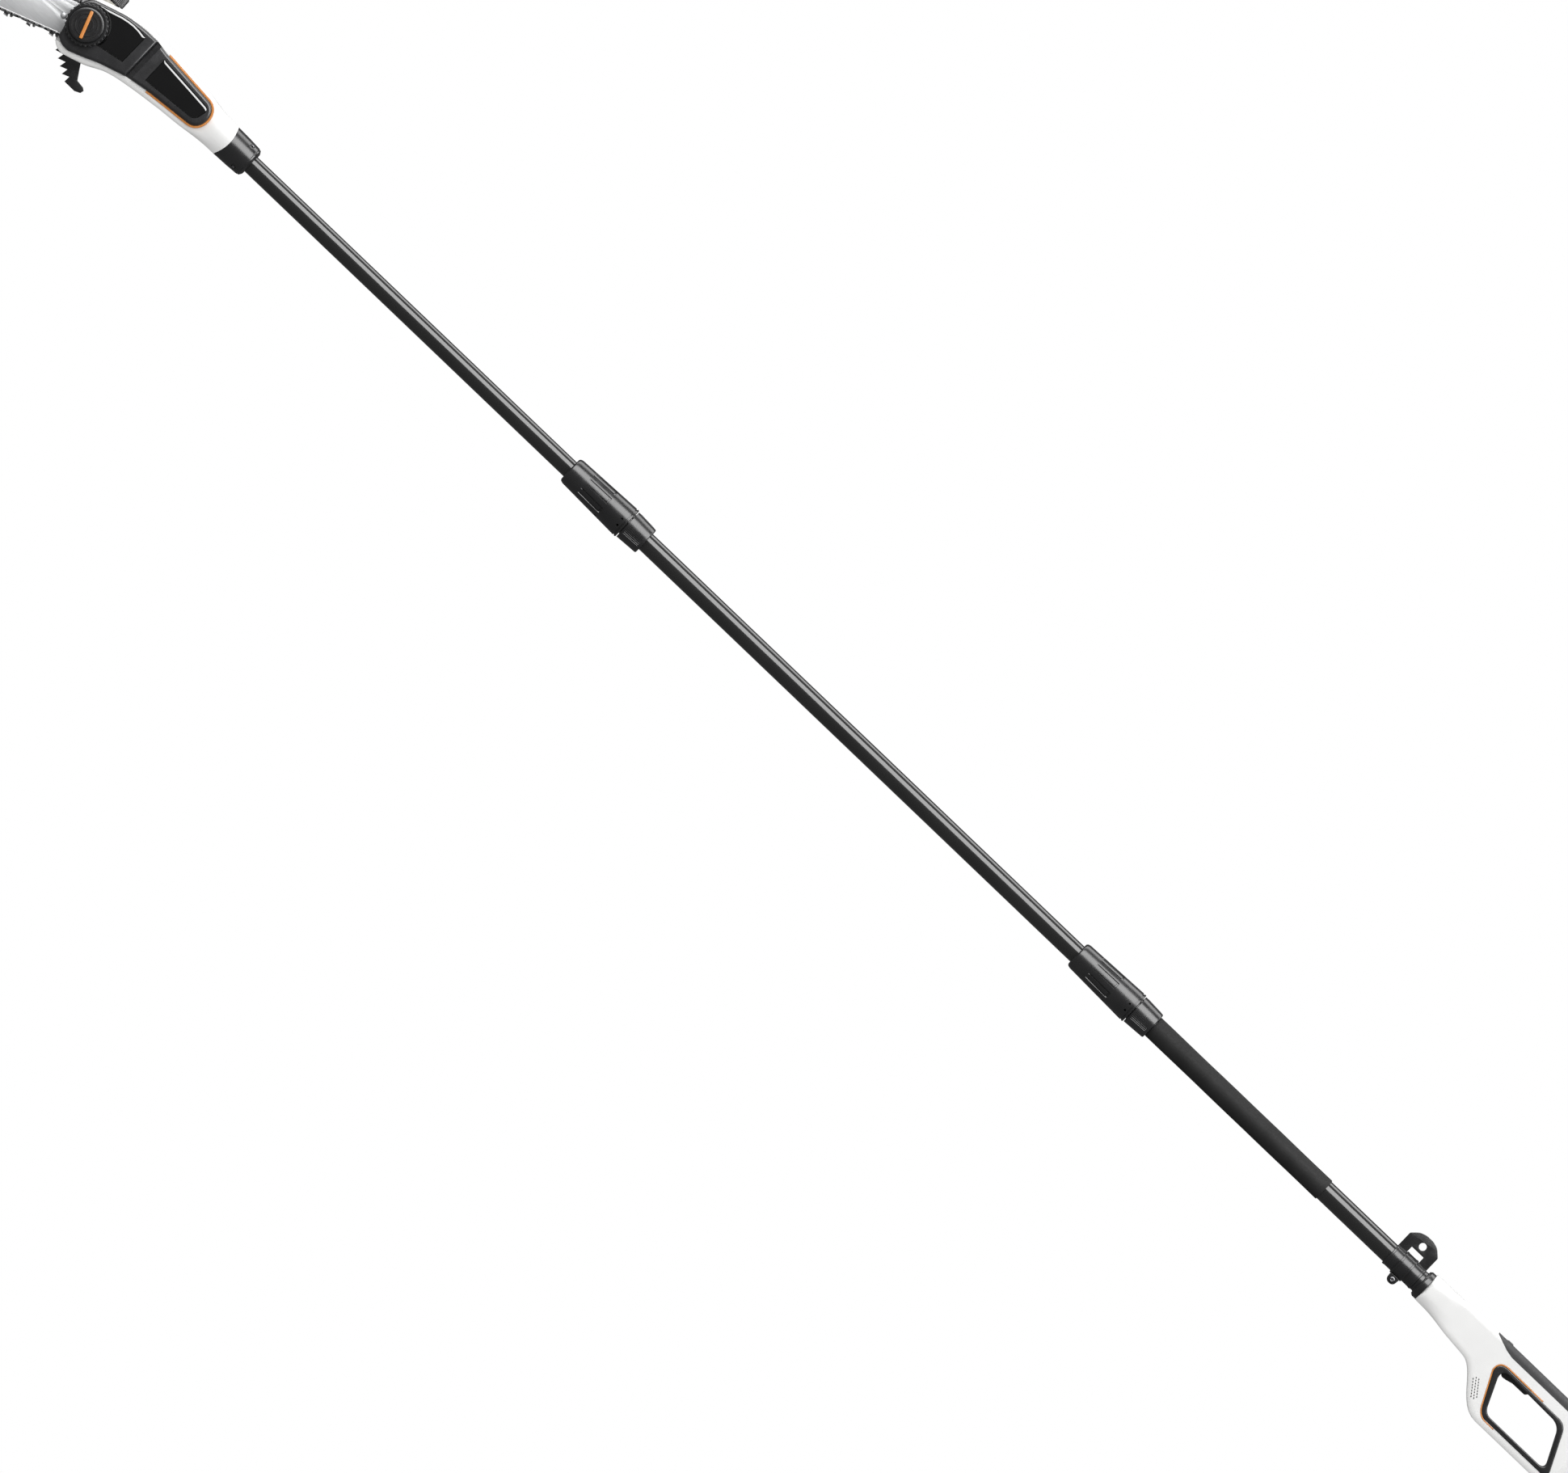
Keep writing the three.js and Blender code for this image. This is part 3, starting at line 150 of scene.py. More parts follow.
# ---- Pole tubes ----
# Three drawn aluminium tubes, each sliding in the next, with a baked gloss black coating. Their
# ends are cut square and broken with a small chamfer.


def shaded(name, **sockets):
    """A material with one Principled shader, its tree, that shader and the object's own places."""
    made = bpy.data.materials.new(name)
    made.use_nodes = True
    tree = made.node_tree
    tree.nodes.clear()
    named = {key.replace("_", " "): value for key, value in sockets.items()}
    shader = node(tree, "ShaderNodeBsdfPrincipled", named)
    node(tree, "ShaderNodeOutputMaterial", {"Surface": shader.outputs["BSDF"]})
    return made, tree, shader, node(tree, "ShaderNodeTexCoord").outputs["Object"]


def speckle(tree, where, size, detail=2.0):
    """A noise's factor, with blobs about size mm across."""
    sockets = {"Vector": where, "Scale": 1 / (size * mm), "Detail": detail}
    return node(tree, "ShaderNodeTexNoise", sockets).outputs["Fac"]


def between(tree, factor, low, high):
    """A factor's useful middle spread over a range."""
    sockets = {"Value": factor, "From Min": 0.3, "From Max": 0.7, "To Min": low, "To Max": high}
    return node(tree, "ShaderNodeMapRange", sockets).outputs["Result"]


def tinted(tree, factor, dark, light):
    """A colour that wanders from dark to light with a factor."""
    ramp = node(tree, "ShaderNodeValToRGB", {"Fac": factor})
    ramp.color_ramp.elements[0].color = linear(dark)
    ramp.color_ramp.elements[0].position = 0.3
    ramp.color_ramp.elements[1].color = linear(light)
    ramp.color_ramp.elements[1].position = 0.7
    return ramp.outputs["Color"]


def bumped(tree, shader, height, depth, strength=1.0):
    """Raises a shader's surface by a height, depth mm from its lowest to its highest."""
    sockets = {"Height": height, "Distance": depth * mm, "Strength": strength}
    tree.links.new(node(tree, "ShaderNodeBump", sockets).outputs["Normal"], shader.inputs["Normal"])


def turned(name, profile, axis="x", centre=(0, 0, 0), steps=96, relief=None, start=0.0):
    """Turns a profile of (along, radius) in mm round an axis into a closed, smooth piece.

    relief gives a height in mm to add at a place along and an angle in degrees.
    """
    bm = bmesh.new()
    rings = []
    for along, radius in profile:
        ring = []
        for step in range(1 if radius < 1e-6 else steps):
            angle = start + 360 * step / steps
            reach = radius + (relief(along, angle, radius) if relief else 0)
            u, v = reach * math.cos(math.radians(angle)), reach * math.sin(math.radians(angle))
            spot = {"x": (along, u, v), "y": (v, along, u), "z": (u, v, along)}[axis]
            ring.append(bm.verts.new((Vector(spot) + Vector(centre)) * mm))
        rings.append(ring)
    loops = list(zip(rings, rings[1:]))
    if len(rings[0]) > 1 and len(rings[-1]) > 1:
        loops.append((rings[-1], rings[0]))
    for a, b in loops:
        for step in range(steps):
            corners = [a[step % len(a)], a[(step + 1) % len(a)]]
            corners += [b[(step + 1) % len(b)], b[step % len(b)]]
            face = list(dict.fromkeys(corners))
            if len(face) > 2:
                bm.faces.new(face)
    return finished(name, bm)


def both_ends(front, rear, end, inner=()):
    """A profile with the same end, (inset, radius) points from its bore out, at its front and rear."""
    back = [(rear - inset, radius) for inset, radius in reversed(end)]
    return [*[(front + inset, radius) for inset, radius in end], *inner, *back]


def shifted(x, y, points):
    """Points (x, y) or (x, y, radius) given from another place."""
    return [(x + px, y + py, *more) for px, py, *more in points]


def finished(name, bm, sharp=32):
    """Puts a bmesh in the scene as a smooth piece with its faces out and its corners crisp."""
    bmesh.ops.recalc_face_normals(bm, faces=bm.faces)
    mesh = bpy.data.meshes.new(name)
    bm.to_mesh(mesh)
    bm.free()
    piece = bpy.data.objects.new(name, mesh)
    scene.collection.objects.link(piece)
    mesh.shade_smooth()
    mesh.set_sharp_from_angle(angle=math.radians(sharp))
    return piece


def softened(corners, closed=True, turn_step=12):
    """Corner points (x, y, radius) with each corner that has a radius rounded by an arc."""
    line = []
    for i, (x, y, *radius) in enumerate(corners):
        here = Vector((x, y))
        ends = not closed and i in (0, len(corners) - 1)
        if not radius or ends:
            line.append(here)
            continue
        back = Vector(corners[i - 1][:2]) - here
        ahead = Vector(corners[(i + 1) % len(corners)][:2]) - here
        half = back.angle(ahead) / 2
        reach = min(radius[0] / math.tan(half), back.length * 0.49, ahead.length * 0.49)
        steps = max(2, round(math.degrees(math.pi - 2 * half) / turn_step))
        middle = here + (back.normalized() + ahead.normalized()).normalized() * (reach / math.cos(half))
        first = here + back.normalized() * reach - middle
        sweep = first.angle_signed(here + ahead.normalized() * reach - middle)
        for step in range(steps + 1):
            line.append(middle + Matrix.Rotation(-sweep * step / steps, 2) @ first)
    return line


def given(piece, material, body, slot, *nodes):
    """A finished piece: its material, the body it rides on, its slot, which is not used, and the nodes it
    stands for.
    """
    if not piece.data.materials:
        piece.data.materials.append(material)
    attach(piece, body)
    if nodes:
        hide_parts(*nodes)


def surfaced(name, colours, gloss, relief=None, **sockets):
    """A material whose colour, roughness and height wander over its surface.

    Each is given as mm across, two colours or two values or one depth in mm, and a level of detail.
    """
    made, tree, shader, where = shaded(name, **sockets)
    size, dark, light, *detail = colours
    colour = tinted(tree, speckle(tree, where, size, *detail), dark, light)
    tree.links.new(colour, shader.inputs["Base Color"])
    size, low, high, *detail = gloss
    drift = between(tree, speckle(tree, where, size, *detail), low, high)
    tree.links.new(drift, shader.inputs["Roughness"])
    if relief:
        size, depth, detail = relief
        bumped(tree, shader, speckle(tree, where, size, detail), depth)
    return made


def baked_gloss_coating():
    """Baked gloss enamel on aluminium: a clear bright skin over black, a little wavy."""
    made, tree, shader, where = shaded(
        "baked_gloss_coating",
        Roughness=0.3,
        IOR=1.5,
        Specular_IOR_Level=0.1,
        Coat_Weight=1.0,
        Coat_Roughness=0.07,
    )
    cloud = speckle(tree, where, 90)
    tree.links.new(tinted(tree, cloud, "#262626", "#2b2b2b"), shader.inputs["Base Color"])
    bumped(tree, shader, speckle(tree, where, 8, 1.0), 0.006)
    return made


coating = baked_gloss_coating()
tube_wall = 0.8
tube_chamfer = 0.25
for tube, body in (("lower_tube", "handle"), ("middle_tube", "middle_pole"), ("upper_tube", "saw_head")):
    low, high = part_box(tube)
    front, rear, radius = low.x / mm, high.x / mm, high.z / mm
    bore = radius - tube_wall
    piece = turned("coated_" + tube, both_ends(front, rear, [
        (0, bore), (0, radius - tube_chamfer), (tube_chamfer, radius)]))
    given(piece, coating, body, "coated_tube", tube)

# ---- Twist locks ----
# Each lock is a long nylon sleeve with eight shallow finger flutes that screws over a collar
# with fine ribs. Both are moulded in black glass-filled nylon and come out of the tool satin.


def moulded_nylon(name, dark, light, rough_low, rough_high, grain=0.9, depth=0.03):
    """Moulded nylon: one body colour, a fine spark-eroded grain and a gloss that drifts a little."""
    return surfaced(name, (45, dark, light), (14, rough_low, rough_high), (grain, depth, 3.0), IOR=1.53)


def baked(piece):
    """A piece's mesh with its modifiers worked out."""
    bpy.context.view_layer.update()
    return bpy.data.meshes.new_from_object(piece.evaluated_get(bpy.context.evaluated_depsgraph_get()))


def repeated(name, tree, unit, **inputs):
    """Runs a node tree on a unit piece and leaves the result as the unit's own plain mesh."""
    modifier = unit.modifiers.new("repeat", "NODES")
    modifier.node_group = tree
    for item in tree.interface.items_tree:
        if item.item_type == "SOCKET" and item.in_out == "INPUT" and item.name in inputs:
            modifier[item.identifier] = inputs[item.name]
    unit.update_tag()
    mesh = baked(unit)
    unit.modifiers.remove(modifier)
    unit.data = mesh
    unit.name = mesh.name = name
    return unit


def new_tree(name, **sockets):
    """A geometry node tree with a mesh in and out and named inputs of the given kinds."""
    tree = bpy.data.node_groups.new(name, "GeometryNodeTree")
    tree.interface.new_socket("Geometry", in_out="OUTPUT", socket_type="NodeSocketGeometry")
    tree.interface.new_socket("Unit", in_out="INPUT", socket_type="NodeSocketGeometry")
    for socket, kind in sockets.items():
        tree.interface.new_socket(socket, in_out="INPUT", socket_type="NodeSocket" + kind)
    return tree, node(tree, "NodeGroupInput").outputs, node(tree, "NodeGroupOutput")


def copied(tree, given_in, given_out, sockets):
    """Ends a tree: its unit is copied to points, made real and given its material."""
    copies = node(tree, "GeometryNodeInstanceOnPoints", {"Instance": given_in["Unit"], **sockets})
    real = node(tree, "GeometryNodeRealizeInstances", {0: copies.outputs[0]})
    finish = given_in["Finish"]
    painted = node(tree, "GeometryNodeSetMaterial", {"Geometry": real.outputs[0], "Material": finish})
    tree.links.new(painted.outputs[0], given_out.inputs[0])
    return tree


def around_tree():
    """Copies a unit at even steps over a turn in radians round an axis through a centre."""
    tree, given_in, given_out = new_tree(
        "round_an_axis", Count="Int", Turn="Float", Axis="Vector", Centre="Vector", Finish="Material"
    )
    spots = node(tree, "GeometryNodeMeshLine", {
        "Count": given_in["Count"],
        "Start Location": given_in["Centre"],
        "Offset": (0, 0, 0),
    })
    index = node(tree, "GeometryNodeInputIndex")
    share = node(tree, "ShaderNodeMath", {0: index.outputs[0], 1: given_in["Count"]}, operation="DIVIDE")
    angle = node(tree, "ShaderNodeMath", {0: share.outputs[0], 1: given_in["Turn"]}, operation="MULTIPLY")
    turned_by = {0: given_in["Axis"], "Scale": angle.outputs[0]}
    turn = node(tree, "ShaderNodeVectorMath", turned_by, operation="SCALE")
    return copied(tree, given_in, given_out, {"Points": spots.outputs["Mesh"], "Rotation": turn.outputs[0]})


def joined(piece, *others):
    """Joins pieces of one body and finish into the first one's mesh."""
    bm = bmesh.new()
    for each in (piece, *others):
        bm.from_mesh(each.data)
    bm.to_mesh(piece.data)
    bm.free()
    for each in others:
        bpy.data.objects.remove(each)
    piece.data.set_sharp_from_angle(angle=math.radians(32))
    return piece


def cut_from(piece, *tools, keep="DIFFERENCE"):
    """Cuts tools out of a piece, or keeps what they share, and clears the tools away."""
    for tool in tools:
        modifier = piece.modifiers.new("cut", "BOOLEAN")
        modifier.operation = keep
        modifier.solver = "MANIFOLD"
        modifier.object = tool
        mesh = baked(piece)
        piece.modifiers.remove(modifier)
        piece.data = mesh
        bpy.data.objects.remove(tool)
    piece.data.materials.clear()
    piece.data.shade_smooth()
    piece.data.set_sharp_from_angle(angle=math.radians(32))
    return piece


black_nylon = moulded_nylon(
    "black_glass_filled_nylon", "#232324", "#2a2a2b", 0.22, 0.28, grain=3.0, depth=0.003)
round_an_axis = around_tree()
flutes = 8
flute_width = 27
flute_start = 18
flute_depth = 0.6
flute_front = 34
flute_rear = 74
border_depth = 1.8
border_width = 2.4
lip_groove = 1.2
joint_gap = 1.3
rib_pitch = math.radians(6.6)
rib_count = 7
rib_sectors = 3
rib_first = math.radians(87)
rib_proud = 0.45
rib_width = 1.3
rib_margin = 3.2
dimples = ((-10, 0.5), (-9, -11))


def sleeve_relief(nose):
    """The eight flutes of a sleeve whose nose is at that place."""
    pitch = 360 / flutes

    def relief(along, angle, radius):
        ahead = along - nose
        turn_in = (angle - flute_start) % pitch
        within = flute_front - 0.01 <= ahead <= flute_rear + 0.01 and 1 < turn_in < flute_width - 1
        if radius < 20 or not within:
            return 0
        edge = min(turn_in, flute_width - turn_in) < 5 or ahead > flute_rear - border_width
        return -border_depth if edge else -flute_depth

    return relief


for lock, tube, body in (("lower", "lower_tube", "handle"), ("upper", "middle_tube", "middle_pole")):
    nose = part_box(lock + "_lock_sleeve")[0].x / mm
    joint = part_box(lock + "_lock_sleeve")[1].x / mm
    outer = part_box(tube)[1].z / mm
    nose_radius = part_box(lock + "_lock_sleeve")[1].z / mm - 3.3
    joint_radius = nose_radius + 3.3
    bore = outer - tube_wall - 0.6
    body_line = [nose + 6, nose + flute_front - 3, nose + flute_front,
        nose + flute_rear - border_width - 0.4,
                 nose + flute_rear - border_width + 0.1, nose + flute_rear, nose + flute_rear + 0.5,
                     joint - 6,
                 joint - 4.8, joint - 4.5, joint - 3.1, joint - 2.8]
    slope = (joint_radius - nose_radius) / (joint - 4 - nose - 6)
    skin = []
    for along in body_line:
        dip = lip_groove if joint - 4.6 < along < joint - 3 else 0
        skin.append((along, nose_radius + slope * (along - nose - 6) - dip))
    nose_curve = softened([
        (nose, bore), (nose, nose_radius - 3.4, 1.0), (nose + 1.8, nose_radius - 1.1, 3.0),
        (nose + 6, nose_radius)], closed=False)
    chamber = outer + 3.1
    sleeve = turned(lock + "_twist_sleeve", [
        *[tuple(p) for p in nose_curve],
        *skin[1:],
        (joint - 0.8, joint_radius),
        (joint, joint_radius - 0.8),
        (joint, chamber),
        (nose + 5, chamber),
        (nose + 5, bore),
    ], steps=240, relief=sleeve_relief(nose), start=flute_start)
    cut_from(sleeve, *[turned("dimple", [(-40, 0), (-40, 1.7), (40, 1.7), (40, 0)], axis="y", steps=20,
                              centre=(joint + ahead, 0, up)) for ahead, up in dimples])
    given(sleeve, black_nylon, lock + "_sleeve", "black_plastic", lock + "_lock_sleeve")

    tip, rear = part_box(lock + "_lock_collar")[0].x / mm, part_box(lock + "_lock_collar")[1].x / mm
    front = joint + joint_gap
    front_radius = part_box(lock + "_lock_collar")[1].z / mm
    rear_radius = front_radius - 1.9
    rear_curve = softened([
        (front + 3, front_radius - 0.1), (rear, rear_radius, 2.2), (rear, outer + 0.3)],
        closed=False)
    collar = turned(lock + "_ribbed_collar", [
        (tip, outer + 0.3),
        (tip, chamber - 0.3),
        (front, chamber - 0.3),
        (front, front_radius - 0.5),
        (front + 0.5, front_radius),
        *[tuple(p) for p in rear_curve],
    ])
    fall = 1.9 / (rear - front)
    rib_front, rib_rear = front + rib_margin, rear - rib_margin - 1
    bm = bmesh.new()
    ends = []
    for along, rise in both_ends(rib_front, rib_rear, [(0, -0.2), (1, rib_proud)]):
        base = front_radius - fall * (along - front)
        section = both_ends(-rib_width / 2, rib_width / 2, [(0, -0.2), (rib_width / 4, rise)])
        ends.append([bm.verts.new(Vector((along, y, base + z)) * mm) for y, z in section])
    for a, b in zip(ends, ends[1:]):
        for k in range(4):
            bm.faces.new((a[k], a[(k + 1) % 4], b[(k + 1) % 4], b[k]))
    bm.faces.new(ends[0])
    bm.faces.new(ends[-1])
    rib = finished("rib", bm)
    rib.data.transform(Matrix.Rotation(rib_first, 4, "X"))
    turn = {"Axis": (1.0, 0.0, 0.0), "Finish": black_nylon}
    sector = repeated("sector", round_an_axis, rib, Count=rib_count, Turn=rib_count * rib_pitch, **turn)
    ribs = repeated("ribs", round_an_axis, sector, Count=rib_sectors, Turn=2 * math.pi, **turn)
    given(joined(collar, ribs), black_nylon, body, "black_plastic", lock + "_lock_collar")

# ---- Foam sleeve ----
# A tube of closed-cell foam slid over the lower tube for the front hand. It is cut from a long
# length, so its ends are square, and it swells a little where nothing presses it.


def closed_cell_foam():
    """Skinned closed-cell foam: dull black with pores under a millimetre, drawn at a millimetre."""
    made, tree, shader, where = shaded("closed_cell_foam", IOR=1.45, Specular_IOR_Level=0.15)
    tree.links.new(tinted(tree, speckle(tree, where, 25), "#222222", "#272727"),
        shader.inputs["Base Color"])
    tree.links.new(between(tree, speckle(tree, where, 3), 0.62, 0.75), shader.inputs["Roughness"])
    pores = node(tree, "ShaderNodeTexVoronoi", {"Vector": where, "Scale": 1 / (1.1 * mm)})
    bumped(tree, shader, pores.outputs["Distance"], 0.16, 0.7)
    return made


low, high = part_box("foam_sleeve")
foam_front, foam_rear, foam_radius = low.x / mm, high.x / mm, high.z / mm
foam_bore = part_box("lower_tube")[1].z / mm + 0.3
foam_stations = 60
swell = 0.25


def foam_relief(along, angle, radius):
    """A slow uneven swell, nothing at the bore."""
    if radius < foam_bore + 0.5:
        return 0
    wave = math.sin(along / 23) * math.sin(math.radians(angle) * 2 + along / 61)
    return swell * 0.5 * (wave - 1)


outside = [
    (foam_front + (foam_rear - foam_front) * (k + 0.5) / foam_stations, foam_radius)
    for k in range(foam_stations)
]
foam = turned("foam_grip_sleeve", both_ends(foam_front, foam_rear, [
    (0, foam_bore), (0, foam_radius - 0.8), (0.25, foam_radius - 0.25), (0.8, foam_radius)],
    inner=outside[1:-1]), relief=foam_relief)
given(foam, closed_cell_foam(), "handle", "foam", "foam_sleeve")

# ---- Carry bracket ----
# A black nylon saddle on the tube with a flat web for a shoulder strap: a slot, and a round eye
# above it. A separate band with two ears goes round the saddle and a cross bolt pulls it tight.


def plate(name, outlines, near, far, edge=0.5, steps=2, sharp=40):
    """A flat piece between two sides in mm, cut to outlines in the side view, with rounded rims."""
    data = bpy.data.curves.new(name, "CURVE")
    data.dimensions = "2D"
    data.fill_mode = "BOTH"
    data.bevel_depth = edge * mm
    data.bevel_resolution = steps
    data.extrude = ((far - near) / 2 - edge) * mm
    data.offset = -edge * mm
    for points in outlines:
        spline = data.splines.new("POLY")
        spline.points.add(len(points) - 1)
        spline.use_cyclic_u = True
        for point, (x, z) in zip(spline.points, points):
            point.co = (x * mm, z * mm, 0, 1)
    cut = bpy.data.objects.new(name, data)
    scene.collection.objects.link(cut)
    mesh = baked(cut)
    bpy.data.objects.remove(cut)
    middle = Vector((0, (near + far) / 2 * mm, 0))
    mesh.transform(Matrix.Translation(middle) @ Matrix.Rotation(math.pi / 2, 4, "X"))
    bm = bmesh.new()
    bm.from_mesh(mesh)
    bmesh.ops.remove_doubles(bm, verts=bm.verts, dist=0.002 * mm)
    bmesh.ops.dissolve_degenerate(bm, edges=bm.edges, dist=0.001 * mm)
    return finished(name, bm, sharp)


def circle(x, z, radius, steps=40):
    """A round outline in the side view."""
    turns = [2 * math.pi * k / steps for k in range(steps)]
    return [(x + radius * math.cos(t), z + radius * math.sin(t)) for t in turns]


def box(name, x, y, z, edge=0.4):
    """A block over three ranges in mm with rounded rims."""
    (x0, x1), (y0, y1), (z0, z1) = x, y, z
    return plate(name, [[(x0, z0), (x1, z0), (x1, z1), (x0, z1)]], y0, y1, edge)


low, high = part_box("carry_bracket")
saddle_front, saddle_rear, web_top = low.x / mm, high.x / mm, high.z / mm
saddle_middle = (saddle_front + saddle_rear) / 2
tube_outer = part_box("lower_tube")[1].z / mm
saddle_bore = tube_outer + 0.3
saddle_radius = saddle_bore + 2.2
web_half = 2.0
shoulder_drop = 13.5
eye_radius = 5.75
eye_height = 39.6
slot_half = 11.85
slot_top = 28.8
rim = 0.7
saddle = turned("carry_bracket_saddle", both_ends(saddle_front, saddle_rear, [
    (0, saddle_bore), (0, saddle_radius - rim), (rim, saddle_radius), (3.2, saddle_radius),
    (3.8, saddle_radius - 0.5)]))
split = box("split", (saddle_front - 1, saddle_rear + 1), (-2, 2), (-saddle_radius - 1, -saddle_bore + 4))
cut_from(saddle, split)
shoulder = web_top - shoulder_drop
web_line = softened([
    (saddle_front, saddle_radius - 1.6), (saddle_rear, saddle_radius - 1.6), (saddle_rear, shoulder, 3),
    (saddle_rear - 11, web_top - 3.2, 16), (saddle_middle + 6, web_top, 14),
    (saddle_middle - 6, web_top, 14), (saddle_front + 11, web_top - 3.2, 16), (saddle_front, shoulder, 3),
])
slot_low = saddle_radius + 0.2
slot_line = softened(shifted(saddle_middle, 0, [
    (-slot_half, slot_low, 0.8), (slot_half, slot_low, 0.8), (slot_half, slot_top, 0.8),
    (-slot_half, slot_top, 0.8)]))
web = plate("web", [web_line, slot_line, circle(saddle_middle, eye_height, eye_radius)],
            -web_half, web_half, 0.6)
bracket = joined(saddle, web)
given(bracket, black_nylon, "handle", "black_plastic", "carry_bracket")

low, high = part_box("bracket_band")
band_front, band_rear = low.x / mm, high.x / mm
band_bore = saddle_radius + 0.3
band_radius = band_bore + 1.4
bolt_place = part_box("bracket_bolt")
bolt_z = (bolt_place[0].z + bolt_place[1].z) / 2 / mm
bead = 3.2
band = turned("bracket_band_strap", both_ends(band_front, band_rear, [
    (0, band_bore), (0, band_radius - 0.4), (0.4, band_radius), (bead, band_radius),
    (bead + 0.4, band_radius - 0.5)]))
gap = 2.7
ear_thickness = 5
ear_radius = 6.8
cut_from(band, box("gap", (band_front - 1, band_rear + 1), (-gap, gap), (-band_radius - 1, -band_bore + 5)))
ear_line = softened([
    (saddle_middle - 8.5, -band_bore - 0.2), (saddle_middle - ear_radius, bolt_z - ear_radius, ear_radius),
    (saddle_middle + ear_radius, bolt_z - ear_radius, ear_radius), (saddle_middle + 8.5, -band_bore - 0.2),
])
ears = [
    plate("ear", [ear_line, circle(saddle_middle, bolt_z, 2.8)], side, side + ear_thickness, 0.5)
    for side in (-gap - ear_thickness, gap)
]
given(joined(band, *ears), black_nylon, "handle", "black_plastic", "bracket_band")

# Hardened carbon steel, blackened and oiled: dark, metallic, with grinding left in it.
dark_steel = surfaced(
    "oiled_hardened_steel", (6, "#4c4c4e", "#6a6a6c"), (2, 0.3, 0.45), (0.8, 0.02, 3.0), Metallic=1.0)
head_side = bolt_place[0].y / mm
nut_side = bolt_place[1].y / mm
bolt_line = [
    *shifted(head_side, 0, [
        (2.0, 0), (2.0, 1.8), (0.3, 2.0), (0.1, 2.6), (0.8, 4.0), (3.5, 4.2), (3.5, 2.5)]),
    *shifted(nut_side, 0, [(-4, 2.5), (-4, 4.4), (-0.5, 4.6), (0, 4.0), (0, 0)]),
]
bolt = turned("bracket_cross_bolt", bolt_line, axis="y", centre=(saddle_middle, 0, bolt_z), steps=48)
given(bolt, dark_steel, "handle", "dark_steel", "bracket_bolt")

# ---- Handle collar ----
# The nylon ferrule between tube and housing: a thin notched neck, then a chamfered shoulder that
# the two housing shells close on.

low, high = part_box("handle_collar")
ferrule_front, ferrule_rear, ferrule_radius = low.x / mm, high.x / mm, high.z / mm
neck_length = 5.6
neck_radius = 18
chamfer = 3.4
neck_line = softened([
    (ferrule_front, saddle_bore), (ferrule_front, neck_radius, 0.5),
    (ferrule_front + neck_length, neck_radius, 0.8),
    (ferrule_front + neck_length, ferrule_radius - 2.6, 0.6),
    (ferrule_front + neck_length + chamfer, ferrule_radius, 1.2), (ferrule_rear, ferrule_radius, 0.4),
    (ferrule_rear, saddle_bore)], closed=False)
ferrule = turned("handle_ferrule", [tuple(p) for p in neck_line])
notches = [
    box("notch", (ferrule_front - 1, ferrule_front + 4.4), (-4, 4), (side * 16.6 - 2, side * 16.6 + 2))
    for side in (-1, 1)
]
given(cut_from(ferrule, *notches), black_nylon, "handle", "black_plastic", "handle_collar")

# ---- Handle housing ----
# Two white nylon half shells, closed on the middle plane, that taper back from the ferrule, open
# round the hand and widen at the rear into the battery dock. A louvre of small slots cools it.


def outline(start, *legs):
    """An outline from a start: a leg of one point is a line, of two or three a curve, of more a
    spline through them."""
    line = [Vector(start)]
    for leg in legs:
        knots = [line[-1], *(Vector(k) for k in leg)]
        if len(leg) == 1:
            line.append(knots[1])
            continue
        for step in range(1, 13):
            t = step / 12
            if len(leg) < 4:
                row = list(knots)
                while len(row) > 1:
                    row = [a.lerp(b, t) for a, b in zip(row, row[1:])]
                line.append(row[0])
        if len(leg) >= 4:
            padded_knots = [knots[0] * 2 - knots[1], *knots, knots[-1] * 2 - knots[-2]]
            for a, b, c, d in zip(padded_knots, padded_knots[1:], padded_knots[2:], padded_knots[3:]):
                for step in range(1, 7):
                    t = step / 6
                    line.append((b * 2 + (c - a) * t + (a * 2 - b * 5 + c * 4 - d) * t * t
                                 + (b * 3 - a - c * 3 + d) * t ** 3) / 2)
    return line if (line[0] - line[-1]).length > 1e-6 else line[:-1]


def moved(points, distance):
    """An outline moved out by a distance in mm, or in by a negative one."""
    area = sum(a.x * b.y - b.x * a.y for a, b in zip(points, points[1:] + points[:1]))
    side = 1 if area > 0 else -1
    result = []
    for before, here, after in zip(points[-1:] + points[:-1], points, points[1:] + points[:1]):
        a, b = (here - before).normalized(), (after - here).normalized()
        stretch = side * distance / max(1 + a.dot(b), 0.3)
        result.append(Vector((here.x + (a.y + b.y) * stretch, here.y - (a.x + b.x) * stretch)))
    return result


def width_at(plan, x):
    """Half the width in mm at a place along, from (place, half width) pairs."""
    for (x0, w0), (x1, w1) in zip(plan, plan[1:]):
        if x <= x1:
            t = max(0.0, min(1.0, (x - x0) / (x1 - x0)))
            return w0 + (w1 - w0) * t * t * (3 - 2 * t)
    return plan[-1][1]


def gridded(bm, station, axes=(0, 2)):
    """Cuts every face along a grid of that many mm, in the side view or along other axes."""
    for axis in axes:
        lowest = min(v.co[axis] for v in bm.verts)
        count = math.ceil((max(v.co[axis] for v in bm.verts) - lowest) / mm / station)
        across = Vector([1 if k == axis else 0 for k in range(3)])
        for k in range(1, count):
            bmesh.ops.bisect_plane(
                bm, geom=bm.verts[:] + bm.edges[:] + bm.faces[:], dist=1e-7,
                plane_co=across * (lowest + k * station * mm), plane_no=across)


